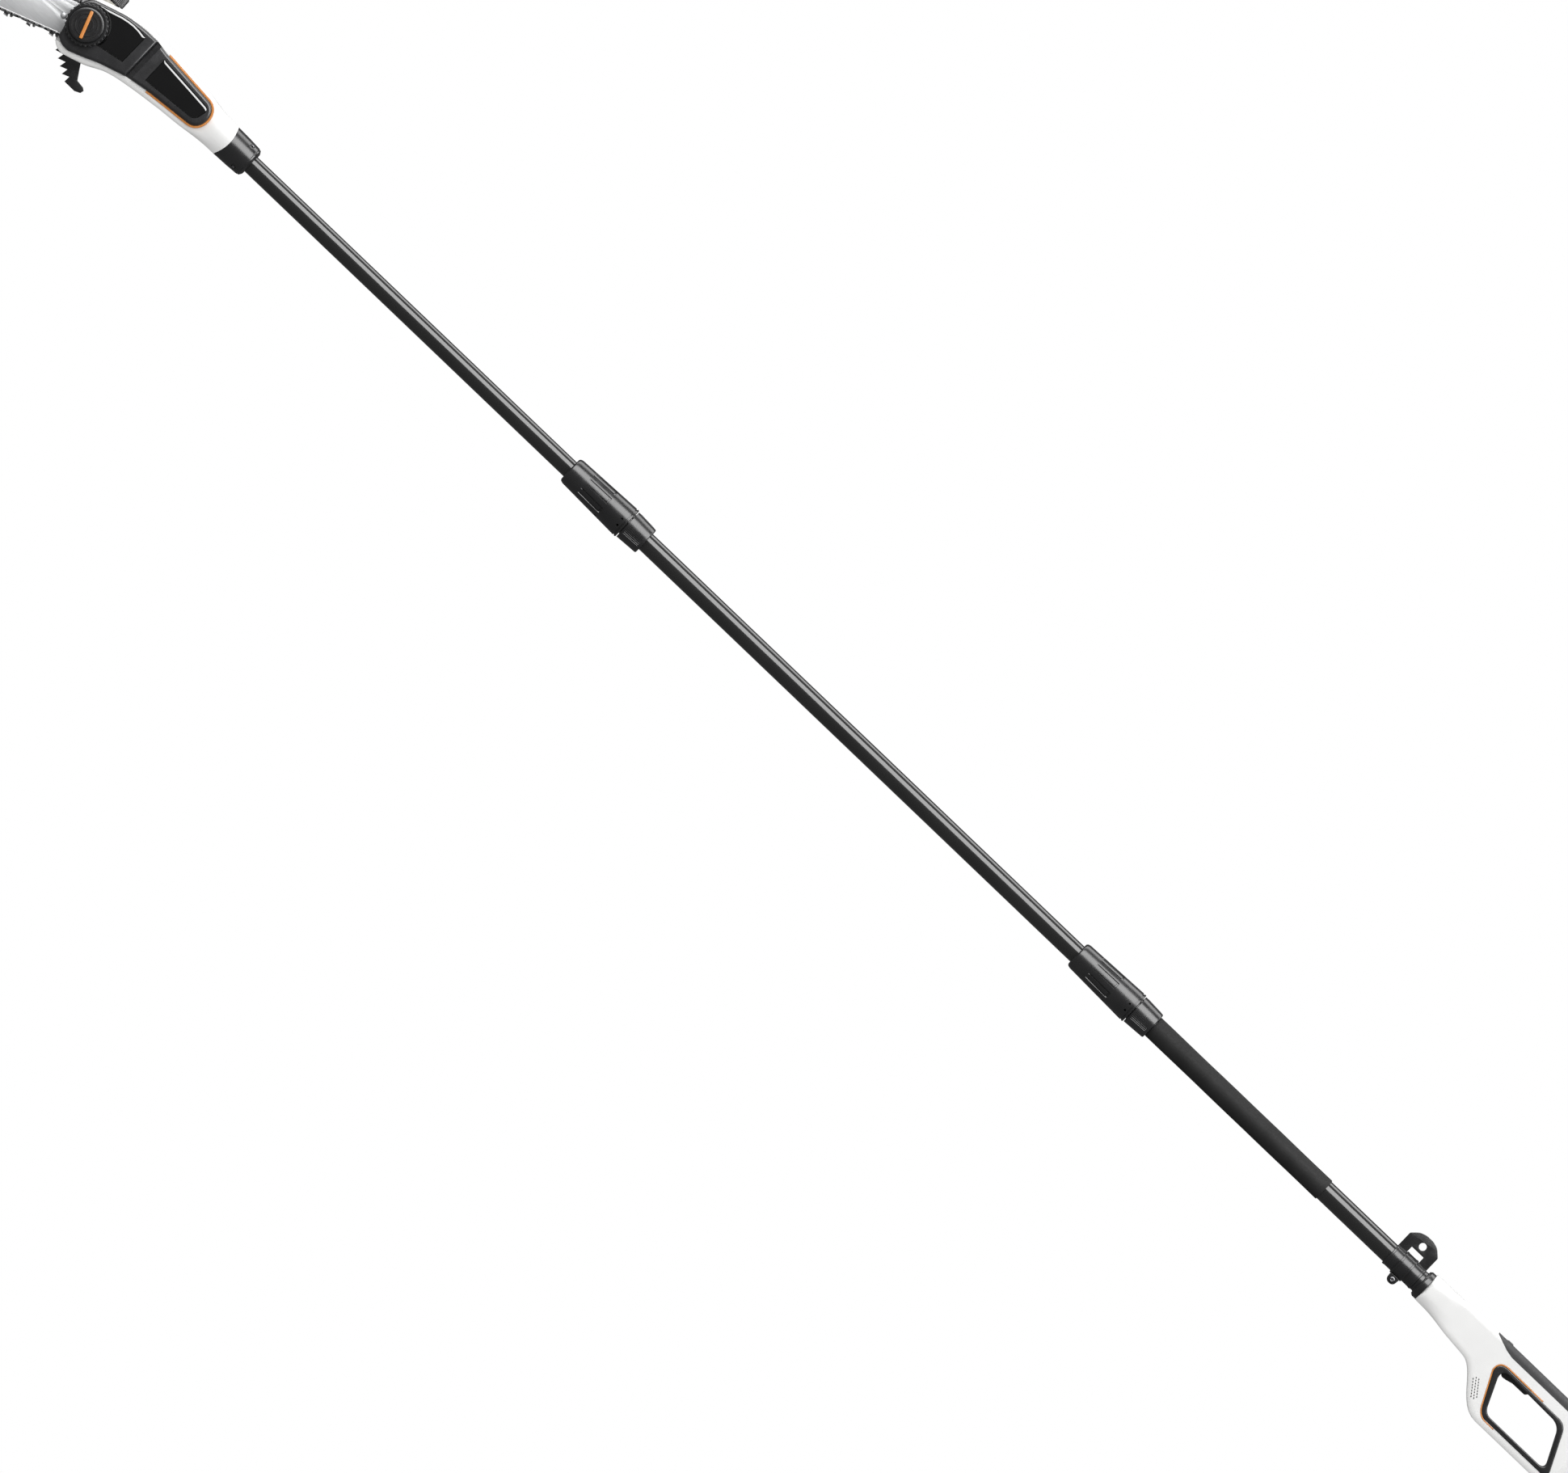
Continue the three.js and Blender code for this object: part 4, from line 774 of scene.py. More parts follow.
def swept_body(line, plan, edge, station=5.0):
    """An outline swept out both ways to a plan of half widths, with a soft rim, as a bmesh."""
    widest = max(w for _, w in plan)
    whole = plate("whole", [line], -widest, widest, edge, steps=7)
    bm = bmesh.new()
    bm.from_mesh(whole.data)
    bpy.data.objects.remove(whole)
    gridded(bm, station)
    for vert in bm.verts:
        vert.co.y *= width_at(plan, vert.co.x / mm) / widest
    return bm


def rounded_throat(bm, mouth, inside, radius, middle):
    """Draws a housing's end in to a round throat, from nothing at inside to round at its mouth."""
    gridded(bm, 4.5, axes=(1,))
    for vert in bm.verts:
        share = (vert.co.x / mm - inside) / (mouth - inside)
        t = max(0.0, min(1.0, share))
        arm = Vector((vert.co.y, vert.co.z - middle * mm))
        if t > 0 and arm.length > radius * mm:
            arm *= 1 + (radius * mm / arm.length - 1) * t * t * (3 - 2 * t)
            vert.co.y, vert.co.z = arm.x, arm.y + middle * mm


def housing_body(name, inward):
    """The rear housing's outside moved in by a distance."""
    bm = swept_body(
        moved(housing_line, -inward), [(x, w - inward) for x, w in housing_plan], housing_edge - inward)
    rounded_throat(bm, housing_front, housing_front + 70, throat_radius - inward, throat_middle)
    return finished(name, bm)


low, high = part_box("handle_shell_front")
housing_front = low.x / mm
dock_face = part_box("battery_case")[0].x / mm - 0.3
housing_floor = low.z / mm
grip_top = 26.0
tip_height = grip_top + 0.6
throat_top, throat_bottom = 25.4, -23.7
grip_half = 20.0
throat_half = 22.5
throat_radius = 24.8
throat_middle = 0.8
dock_half = -low.y / mm
strip_tip = -97.0
housing_line = outline(
    (housing_front, throat_bottom), [(-111.7, -34.5)],
    [(-84, -36), (-68, housing_floor), (-30.5, housing_floor)],
    [(dock_face, housing_floor)], [(dock_face, grip_top)], [(strip_tip, tip_height)],
    [(housing_front, throat_top)],
)
housing_plan = [
    (housing_front, throat_half), (-120, grip_half), (100, grip_half), (126, dock_half),
    (dock_face, dock_half),
]
liner_line = outline(
    (-48, -3.4), [(-66, -3.4), (-64.3, -19)], [(-40, -68)], [(-33, -81.2), (-20, -81.2)],
    [(86, -81.2)], [(103, -81.2), (97, -68)], [(72, -15.5)], [(66.5, -5), (54, -4.4)],
)
opening_line = outline(
    (-42, -9.4), [(-56, -10), (-51.5, -24)], [(-33.5, -64)], [(-28.5, -73.4), (-18, -73.4)],
    [(78, -73.4)], [(91, -73.4), (87, -63)], [(67.5, -23)], [(62, -13), (50, -11.4)],
)
fit = 0.3
trim_width = 1.8
strip_thickness = 2.0
housing_wall = 2.4
liner_half = grip_half + 1.5
strip_low = 12.4
strip_line = softened([
    (strip_tip, grip_top + 4), (strip_tip + 1.5, grip_top - 1.5, 3), (strip_tip + 27, strip_low + 2.6, 14),
    (strip_tip + 40, strip_low, 16), (dock_face - 6, strip_low, 1.5), (dock_face - 6, grip_top + 4),
])
slider_front, slider_rear = (v.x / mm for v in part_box("lock_off_slider"))
slot_half_width = 5.0
housing_edge = 9

# White glass-filled nylon, moulded satin: a warm white with a faint grain and soft gloss.
white_shell = surfaced("white_moulded_nylon", (60, "#f3f3f2", "#f7f7f6"), (20, 0.32, 0.42),
    (0.9, 0.006, 3.0),
                       IOR=1.5, Specular_IOR_Level=0.4)
trim_window = [Vector(corner) for corner in (
    (-90, -100), (-5, -100), (-5, -60), (-45, -40), (-45, -20), (20, -20), (20, 10), (-90, 10))]


def trim_ring(name, grow, near, far):
    """The trim's loop between two sides, with clearance when grow is over nothing."""
    ring = plate(name, [moved(liner_line, fit + trim_width + grow), moved(liner_line, fit - grow)],
                 near, far, 0.3)
    window = plate("window", [moved(trim_window, grow)], near - 2, far + 2, 0.05)
    return cut_from(ring, window, keep="INTERSECT")


def strip_wrap(name, grow, depth, over=0):
    """What the rubber strip takes from the housing, depth mm deep and reaching over mm outside."""
    wrap = finished(name, swept_body(
        moved(housing_line, over), [(x, w + over) for x, w in housing_plan], housing_edge + over))
    core = finished("core", swept_body(
        moved(housing_line, -depth), [(x, w - depth) for x, w in housing_plan], housing_edge - depth))
    cut_from(wrap, core)
    return cut_from(wrap, plate("region", [moved(strip_line, grow)], -60, 60, 0.05), keep="INTERSECT")


def along_tree():
    """Copies a unit at even steps along a line."""
    tree, given_in, given_out = new_tree("along_a_line", Count="Int", Step="Vector", Finish="Material")
    spots = node(tree, "GeometryNodeMeshLine", {"Count": given_in["Count"], "Offset": given_in["Step"]})
    return copied(tree, given_in, given_out, {"Points": spots.outputs["Mesh"]})


along_a_line = along_tree()
louvre_middle = Vector((-66, -57))
louvre_way = Vector((0.6, -0.8))
louvre_side = Vector((0.8, 0.6))
louvre_step, louvre_gap = 4.3, 4.2
rail_inner, rail_lip, rail_outer, rail_depth = 21, 3, 27, 7
rail_low, rail_high = grip_top - 106, grip_top - 6


def louvre_slots():
    """Tools for three slanting rows of small round-ended slots."""
    slots = []
    for row, count in ((-1, 7), (0, 8), (1, 7)):
        start = louvre_middle + louvre_side * louvre_gap * row - louvre_way * louvre_step * (count - 1) / 2
        ends = ((-1.4, -0.75), (1.4, -0.75), (1.4, 0.75), (-1.4, 0.75))
        corners = [start + louvre_way * a + louvre_side * b for a, b in ends]
        slot = plate("slot", [softened([(c.x, c.y, 0.7) for c in corners])], -60, -5, 0.05)
        step = louvre_way * louvre_step * mm
        slots.append(repeated(
            "slots", along_a_line, slot, Count=count, Step=(step.x, 0.0, step.y), Finish=white_shell))
    return slots


def dock_rail(side):
    """A rail with an inward lip on the dock's face."""
    face, tip = dock_face - 0.5, dock_face + rail_depth
    web = sorted((side * (rail_inner + rail_lip), side * rail_outer))
    lip = sorted((side * rail_inner, side * rail_outer))
    return joined(
        box("web", (face, tip - 2.8), web, (rail_low, rail_high), 0.3),
        box("lip", (tip - 3, tip), lip, (rail_low, rail_high), 0.5),
    )


button_margin = 3
button_front, button_rear = slider_front + button_margin, slider_rear - button_margin
slider_travel = 6
slider_slot = ((button_front - slider_travel - fit, button_rear + fit), (-slot_half_width, slot_half_width))
for part, side in (("front", -1), ("back", 1)):
    shell = cut_from(housing_body("handle_housing_" + part, 0), housing_body("room", housing_wall))
    near, far = (-60, 1) if side < 0 else (-1, 60)
    reach = sorted((side * 0.15, side * 60))
    half = box("half", (housing_front - 10, dock_face + 10), reach, (-120, 60), 0.05)
    cut_from(shell, half, keep="INTERSECT")
    cut_from(
        shell,
        plate("hand", [moved(liner_line, fit)], near, far, 0.05),
        trim_ring("trim", fit, near, far),
        strip_wrap("seat", fit, strip_thickness + fit, over=1),
        turned("bore", [(housing_front - 5, 0), (housing_front - 5, saddle_bore), (-60, saddle_bore),
            (-60, 0)]),
        box("slider_slot", *slider_slot, (10, 40), 0.1),
        box("contacts", (dock_face - 20, dock_face + 1), (-14.3, 14.3), (-40.3, -9.7), 0.1),
        *(louvre_slots() if side < 0 else []),
    )
    shell = joined(shell, dock_rail(side))
    given(shell, white_shell, "handle", "white_shell", "handle_shell_" + part)

# ---- Grip strip ----
# Soft rubber moulded over the top of the grip, where the palm lies, let in flush with the shells.

# Moulded thermoplastic rubber: dull charcoal with a fine sand texture for grip.
rubber = surfaced("moulded_soft_rubber", (30, "#303031", "#373738"), (4, 0.55, 0.68), (1.0, 0.06, 3.0),
                  IOR=1.5, Specular_IOR_Level=0.3)
strip = strip_wrap("rubber_grip_strip", 0, strip_thickness)
cut_from(strip, box("slider_slot", *slider_slot, (10, 40), 0.1))
given(strip, rubber, "handle", "rubber", "grip_strip")

# ---- Hand opening ----
# A black nylon ring lines the hand opening, a little proud of the housing on both sides, and a
# thin orange nylon line is let in beside it on the front side.

liner = plate("hand_opening_liner", [liner_line, opening_line], -liner_half, liner_half, 1.6, steps=4)
cut_from(liner, box("trigger_slot", (-58, 1), (-6.3, 6.3), (-26, 0), 0.1))
given(liner, black_nylon, "handle", "black_plastic", "opening_liner")

orange_nylon = moulded_nylon("orange_moulded_nylon", "#df8a33", "#e69440", 0.32, 0.4, depth=0.012)
trim = trim_ring("orange_side_line", 0, -liner_half + 1, liner_half - 1)
given(trim, orange_nylon, "handle", "orange_plastic", "handle_trim")

# ---- Trigger and lock-off ----
# The trigger blade hangs through the liner and turns on a pin at its front end. The lock-off is
# a ribbed thumb slider on top of the grip that has to be pushed forward first.

pivot_x, pivot_z = -50, 5
blade_half = 6
blade_line = softened([
    (pivot_x - 6, -3, 1), (-50.5, -18.8, 6), (-40, -17.2, 8), (-30, -14.6, 6), (-6, -14.4, 4),
    (-1.6, -9.2, 3),
    (-3, 1, 1.5), (-10, 3), (-36, 4), (pivot_x + 6, pivot_z + 4, 2), (pivot_x, pivot_z + 5, 3),
    (pivot_x - 5, pivot_z + 2, 3),
])
blade = plate("trigger_blade", [blade_line], -blade_half, blade_half, 1.8, steps=4)
pin_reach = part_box("trigger")[1].y / mm
pin = turned("pin", both_ends(-pin_reach, pin_reach, [(0, 0), (0, 1.7), (0.3, 2)]),
             axis="y", centre=(pivot_x, 0, pivot_z), steps=32)
given(joined(blade, pin), black_nylon, "trigger", "black_plastic", "trigger")

button_half = 4.7
button_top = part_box("lock_off_slider")[1].z / mm
foot_top = 20.5
button_line = softened([
    (button_front, foot_top - 1), (button_rear, foot_top - 1), (button_rear, button_top - 1.6, 1),
    (button_rear - 3.5, button_top - 0.5, 2), (button_front + 3, button_top - 0.5, 2),
    (button_front, button_top - 1.4, 1)])
button = plate("button", [button_line], -button_half, button_half, 0.6)
foot = box("foot", (slider_front, slider_rear), (-8, 8), (18, foot_top), 0.4)
ridge_pitch = 1.9
ridge = box("ridge", (button_front + 3.2, button_front + 4.2), (-button_half + 0.6, button_half - 0.6),
            (button_top - 1.4, button_top), 0.3)
ridges = repeated("ridges", along_a_line, ridge, Count=5, Step=(ridge_pitch * mm, 0.0, 0.0),
    Finish=black_nylon)
given(joined(button, foot, ridges), black_nylon, "lock_off", "black_plastic", "lock_off_slider")

# ---- Battery pack ----
# A slide pack of ten round cells in a black nylon case, with a shoe that the dock's two lipped
# rails hold, ribs on its sides for the fingers and an orange latch button at the back.

low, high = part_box("battery_case")
pack_face = dock_face + 0.3 + 7
pack_rear, pack_low, pack_high = high.x / mm, low.z / mm, high.z / mm
pack_half = high.y / mm
shoe_half, shoe_neck = 23.7, 20.7
latch_low, latch_high = (v.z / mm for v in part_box("battery_latch"))
latch_half = 13
latch_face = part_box("battery_latch")[1].x / mm
pack_line = softened([
    (pack_face, pack_low, 3), (pack_rear, pack_low, 9), (pack_rear, pack_high, 7),
    (pack_face, pack_high, 3)])
pack = plate("battery_pack_case", [pack_line], -pack_half, pack_half, 5, steps=6)
shoe_reach = (pack_low + 6, pack_high - 4)
shoe = joined(
    box("shoe", (dock_face + 0.3, pack_face - 3.6), (-shoe_half, shoe_half), shoe_reach, 0.5),
    box("neck", (pack_face - 4, pack_face + 1), (-shoe_neck, shoe_neck), shoe_reach, 0.3),
)
seam_line = [moved(pack_line, 1), moved(pack_line, -0.7)]
seam = plate("seam", seam_line, -pack_half + 12.2, -pack_half + 12.9, 0.1)
far_seam = plate("seam", seam_line, pack_half - 12.9, pack_half - 12.2, 0.1)
cut_from(
    pack, seam, far_seam,
    box("cells", (pack_face + 2.4, pack_rear - 2.4), (-pack_half + 2.4, pack_half - 2.4),
        (pack_low + 2.4, pack_high - 2.4), 1),
    box("latch_pocket", (pack_rear - 9, pack_rear + 1), (-latch_half - fit, latch_half + fit),
        (latch_low - fit, latch_high + fit), 0.1),
)
finger_rib = box("finger_rib", (pack_face + 14, pack_rear - 12), (-pack_half - 0.5, pack_half + 0.5),
                 (pack_low + 20, pack_low + 22.2), 0.7)
finger_ribs = repeated("finger_ribs", along_a_line, finger_rib, Count=9, Step=(0.0, 0.0, 5 * mm),
    Finish=black_nylon)
cut_from(finger_ribs, box("cells", (pack_face, pack_rear), (-pack_half + 1.5, pack_half - 1.5), (-90, 20),
    1))
given(joined(pack, shoe, finger_ribs), black_nylon, "battery_pack", "black_plastic", "battery_case")

latch = box("battery_latch_button", (pack_rear - 5, latch_face - 0.4), (-latch_half, latch_half),
            (latch_low, latch_high), 1.2)
latch_ridge = box("ridge", (latch_face - 1, latch_face), (-latch_half + 3, latch_half - 3),
                  (latch_low + 4, latch_low + 5.1), 0.35)
latch_ridges = repeated("ridges", along_a_line, latch_ridge, Count=5, Step=(0.0, 0.0, 2.2 * mm),
    Finish=orange_nylon)
given(joined(latch, latch_ridges), orange_nylon, "battery_button", "orange_plastic", "battery_latch")

# ---- Head collar ----
# The nylon ferrule that holds the saw head on the upper tube. Two screws, sunk in round pockets
# on the near side, pull its halves together.

head_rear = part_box("head_collar")[1].x / mm
collar_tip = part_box("head_collar")[0].x / mm
collar_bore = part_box("upper_tube")[1].z / mm + fit
head_mouth = head_rear - 50
collar_line = softened([
    (head_mouth - 12, 23.8), (head_mouth - 12, 27.2), (head_rear - 26, 26.2), (head_rear - 6, 25, 1.5),
    (head_rear, 19.5, 1.2), (head_rear, 18), (head_rear - 3, 18), (head_rear - 3, 23.8)], closed=False)
collar_sleeve = turned("collar_sleeve", [
    (collar_tip, collar_bore), (collar_tip, 23.5), (collar_tip + 0.5, 24), (head_rear - 3, 24),
    (head_rear, 19.4),
    (head_rear, collar_bore)])


def mouth_line(ahead, side):
    """Everything behind the housing's curved mouth, or in front of it, in the side view."""
    curve = []
    for step in range(25):
        z = 1 - 30 + 60 * step / 24
        curve.append(Vector((head_mouth - 2 + ahead + 9 * (1 - ((z - 1) / 30) ** 2), z)))
    beyond = head_rear - 140 if side else head_rear + 20
    return [*curve, Vector((beyond, 60)), Vector((beyond, -60))]


ferrule = turned("head_ferrule", [tuple(p) for p in collar_line])
cut_from(ferrule, plate("mouth", [mouth_line(fit, 1)], -60, 60, 0.05))
screw_x, screw_z, pocket_floor = head_rear - 15.9, 20, 12.6
collar_cuts, screws = [], []
for side in (-1, 1):
    spot = (screw_x, 0, side * screw_z)
    collar_cuts.append(turned("pocket", [
        (-40, 0), (-40, 3.6), (-pocket_floor, 3.6), (-pocket_floor, 0)], axis="y", centre=spot, steps=40))
    screws.append(turned("screw", [
        (-pocket_floor - 1.9, 0), (-pocket_floor - 1.9, 1.9), (-pocket_floor - 1.6, 2.6),
        (-pocket_floor - 0.7, 3), (-pocket_floor + 0.3, 3), (-pocket_floor + 0.3, 0)],
        axis="y", centre=spot, steps=40))
    cut_from(screws[-1], turned("socket", [
        (-30, 0), (-30, 1.2), (-pocket_floor - 0.6, 1.2), (-pocket_floor - 0.6, 0)],
        axis="y", centre=spot, steps=6))
cut_from(ferrule, *collar_cuts)
given(joined(ferrule, collar_sleeve), black_nylon, "saw_head", "black_plastic", "head_collar")
given(joined(*screws), dark_steel, "saw_head", "dark_steel")

# ---- Head housing ----
# Two white nylon half shells that swell from the ferrule, carry motor, gears and oil tank, and
# end round the bar. The near one is let down under both covers and holds the bar's chain bay.


def head_place(points):
    """Points of the head's own outlines moved to where the head stands."""
    return [Vector((x + head_rear, z)) for x, z in points]


head_line = head_place(outline(
    (-30, 27.9), [(-199.2, 41.3)],
    [(-225.8, 43.8), (-249.4, 44.3), (-283.5, 36.2), (-325.8, 22.6)],
    [(-346, 16), (-346.8, -6)], [(-341, -45)], [(-336, -74.3), (-312.2, -74.3)],
    [(-278.1, -63.5), (-247.6, -49.2), (-208.1, -41.3), (-154.3, -34.8)], [(-30, -25.4)],
))
cover_line = head_place(outline(
    (-220.8, 35.5), [(-240.4, 35.5)], [(-251, 34.9), (-261.9, 33.7), (-283.5, 30.1), (-328.3, 16.5)],
    [(-343, 8), (-343.5, -14)], [(-332.5, -57)], [(-324, -67), (-306.8, -64.9)],
    [(-283.5, -56), (-261.9, -47), (-233.2, -38), (-220.8, -34.1)],
))
motor_cover_line = head_place(outline(
    (-220.2, 35.3), [(-198, 31.3)], [(-106, 23.6)], [(-84, 20), (-84, -18.6), (-107.7, -20.3)],
    [(-177.7, -26.7)], [(-220.2, -33.5)],
))
hook_line = head_place([
    (-322, -48), (-334, -67.2), (-321, -65.5), (-323.5, -77), (-310.5, -73.5), (-312.5, -83.5),
    (-300.5, -79.5),
    (-302.5, -89.8), (-291, -85.5), (-292.5, -95.8), (-281.5, -91.5), (-282, -101.3), (-262, -101.5),
    (-253.5, -97.5), (-252, -92), (-256, -88.8), (-269, -87.2), (-283.5, -65), (-290, -48),
])
stud_x, stud_z = head_rear - 312.8, -19.1
bar_tilt = math.radians(20)


def on_bar(points):
    """Points (along, across) of the bar, measured from its stud, in the side view."""
    c, s = math.cos(bar_tilt), math.sin(bar_tilt)
    return [Vector((stud_x - a * c - b * s, stud_z - a * s + b * c)) for a, b in points]


head_front_plan = [(head_rear - 360, 30), (head_rear - 170, 30), (head_rear - 70, 27), (head_rear - 50, 27)]
head_back_plan = [(head_rear - 360, 30), (head_rear - 340, 38), (head_rear - 170, 38), (head_rear - 70, 27),
                  (head_rear - 50, 27)]
head_throat_radius = 27.4
head_edge = 9
head_wall = 2.6
bay_floor = -12.5
cover_seat = -21.5
hook_near, hook_far = 10, 14
cap_x, cap_z = head_rear - 310.5, 33
shaft_x, shaft_z = on_bar([(-66, 0)])[0]


def head_body(name, inward):
    """The head's outside moved in by a distance, wider behind the middle than in front of it."""
    back = [(x, w - inward) for x, w in head_back_plan]
    front = [(x, w - inward) for x, w in head_front_plan]
    bm = swept_body(moved(head_line, -inward), back, head_edge - inward, station=8.0)
    for vert in bm.verts:
        x = vert.co.x / mm
        vert.co.y *= width_at(front, x) / width_at(back, x) if vert.co.y < 0 else 1
    rounded_throat(bm, head_rear - 52, head_rear - 120, head_throat_radius - inward, 0.5)
    return finished(name, bm)


def rod(axis, centre, near, far, radius, steps=48):
    """A plain round tool between two places along an axis."""
    return turned("rod", [(near, 0), (near, radius), (far, radius), (far, 0)], axis=axis, centre=centre,
        steps=steps)


head_trim_width = 2.9
trim_face = -31
trim_rear = head_place([(-199.5, 60), (-178, -60), (-60, -60), (-60, 60)])


def head_trim(name, grow, near, far):
    """The orange line's loop round the motor cover, with clearance when grow is over nothing."""
    ring = plate(name, [moved(motor_cover_line, fit + head_trim_width + grow),
        moved(motor_cover_line, fit - grow)],
                 near, far, 0.3)
    return cut_from(ring, plate("rear", [moved(trim_rear, grow)], near - 2, far + 2, 0.05),
        keep="INTERSECT")


collar_seat = 24 + fit
head_ranges = {"front": (-60, -fit / 2), "back": (fit / 2, 60)}
for part, (near, far) in head_ranges.items():
    shell = head_body("head_housing_" + part, 0)
    half = box("half", (head_rear - 400, head_rear), (near, far), (-120, 70), 0.05)
    cut_from(shell, half, keep="INTERSECT")
    gear_room = head_body("gear_room", head_wall)
    cut_from(gear_room, box("room", (head_rear - 400, head_rear - 222), (bay_floor + 2.5, 60), (-120, 70),
        0.05),
             keep="INTERSECT")
    motor_room = head_body("motor_room", head_wall)
    cut_from(motor_room, box("room", (head_rear - 222.5, head_rear - 78), (cover_seat + 2.8, 60),
        (-120, 70), 0.05),
             keep="INTERSECT")
    cut_from(
        shell, gear_room, motor_room,
        rod("x", (0, 0, 0), collar_tip - 1, head_rear, collar_seat),
        plate("hook_slot", [moved(hook_line, fit)], hook_near - fit, hook_far + fit, 0.05),
        plate("rear", [mouth_line(0, 0)], -60, 60, 0.05),
        rod("z", (cap_x, 12, 0), 20, 60, 14.3),
    )
    if part == "front":
        mouth = on_bar([(-2, -38), (90, -38), (90, 38), (-2, 38)])
        cut_from(
            shell,
            plate("bay", [moved(cover_line, fit)], -60, bay_floor, 0.05),
            plate("mouth", [mouth], -60, bay_floor, 0.05),
            plate("motor_seat", [moved(motor_cover_line, fit)], -60, cover_seat + fit, 0.05),
            head_trim("trim_seat", fit, -60, cover_seat + fit),
            rod("y", (stud_x, 0, stud_z), -60, 0, 4.3),
            rod("y", (shaft_x, 0, shaft_z), -60, 0, 11.3),
        )
    given(shell, white_shell, "saw_head", "white_shell", "head_shell_" + part)

trim = head_trim("orange_head_line", 0, trim_face, cover_seat)
given(trim, orange_nylon, "saw_head", "orange_plastic", "head_trim")

# ---- Head covers ----
# Black nylon covers over the drive sprocket and the motor, with broad rolled edges, a dark joint
# between them and a panel of polished acrylic let into each.

# Polished black acrylic: mirror gloss with the slightest waviness.
gloss_black = surfaced("polished_black_acrylic", (30, "#060607", "#0b0b0c"), (12, 0.03, 0.06),
    (12, 0.004, 1.0),
                       IOR=1.49, Coat_Weight=1.0, Coat_IOR=1.7)
cover_nylon = moulded_nylon("cover_glass_filled_nylon", "#2a2a2b", "#303032", 0.24, 0.3, grain=2.5,
    depth=0.006)
cover_face, motor_face = -38, -36
cover_wall = 2.5
cover_edge = 4.5
insert_depth = 1.5
dial_room = 32.8
dial_turns = [math.radians(100 - 5 * k) for k in range(25)]
cover_insert_line = [
    *head_place([(-238, 27), (-251, 29.4), (-262, 29.8), (-272, 28.9), (-283, 26.8), (-305, 20.2),
        (-319, 15.6)]),
    *[Vector((stud_x + dial_room * math.cos(t), stud_z + dial_room * math.sin(t))) for t in dial_turns],
    Vector((head_rear - 238, -22)),
]
motor_insert_line = head_place(outline(
    (-195.6, 23), [(-106, 15.6)], [(-98, 14.8), (-99.5, 6)], [(-102, -4)], [(-105, -11.4), (-114, -12)],
    [(-195.6, -18.3)],
))
groove_rear = head_rear - 211.7


def cover(name, line, face, insert_line, solid_to, *extra_cuts):
    """A cover: a plate with a rolled edge, dished from one place back, and a bed for its panel."""
    made = plate(name, [line], face, cover_seat + cover_edge, cover_edge, steps=6)
    dish = plate("dish", [moved(line, -cover_wall)], face + 3, cover_seat + 2, 0.4)
    cut_from(dish, box("solid", (head_rear - 400, solid_to), (-60, 0), (-120, 70), 0.05))
    return cut_from(
        made,
        box("flat", (head_rear - 400, head_rear), (cover_seat, cover_seat + 20), (-120, 70), 0.05),
        dish,
        plate("bed", [moved(insert_line, fit)], face - 1, face + insert_depth, 0.05),
        *extra_cuts,
    )


sprocket_cover = cover("sprocket_cover_shell", cover_line, cover_face, cover_insert_line, head_rear - 399)
boss = turned("boss", [(cover_face + 1.5, 4.3), (cover_face + 1.5, 14), (-18.1, 14), (-18.1, 4.3)],
              axis="y", centre=(stud_x, 0, stud_z), steps=64)
cut_from(sprocket_cover, rod("y", (stud_x, 0, stud_z), -50, 0, 4.2))
given(joined(sprocket_cover, boss), cover_nylon, "saw_head", "black_plastic", "sprocket_cover")

groove = box("groove", (head_rear - 225, groove_rear), (motor_face - 1, motor_face + 8), (-50, 50), 0.3)
motor_cover = cover("motor_cover_shell", motor_cover_line, motor_face, motor_insert_line,
    groove_rear + 2.5, groove)
given(motor_cover, cover_nylon, "saw_head", "black_plastic", "motor_cover")

panel_rise, panel_roll, panel_mesh = 2.0, 4.6, 0.8


def pillowed(name, line, near, far):
    """A panel whose near face rises from its rim in a soft roll."""
    flat = plate(name, [line], near, far, 0.05)
    bm = bmesh.new()
    bm.from_mesh(flat.data)
    bpy.data.objects.remove(flat)
    gridded(bm, panel_mesh)
    rim = list(zip(line, line[1:] + line[:1]))
    for vert in bm.verts:
        if vert.co.y < (near + 0.1) * mm:
            here = Vector((vert.co.x, vert.co.z)) / mm
            inset = panel_roll
            for a, b in rim:
                t = max(0.0, min(1.0, (here - a).dot(b - a) / (b - a).length_squared))
                inset = min(inset, (here - a.lerp(b, t)).length)
            vert.co.y -= panel_rise * (1 - (1 - inset / panel_roll) ** 2) * mm
    return finished(name, bm, sharp=50)


beds = (("sprocket_cover", cover_insert_line, cover_face), ("motor_cover", motor_insert_line, motor_face))
for part, line, face in beds:
    panel = pillowed(part + "_panel", line, face + 0.9, face + 1.4)
    given(panel, gloss_black, "saw_head", "gloss_black", part + "_insert")

# ---- Bar clamp ----
# A toothed tension ring with a round knob inside it on the bar's stud. The knob is turned by an
# orange folding handle that lies in a groove across its face.

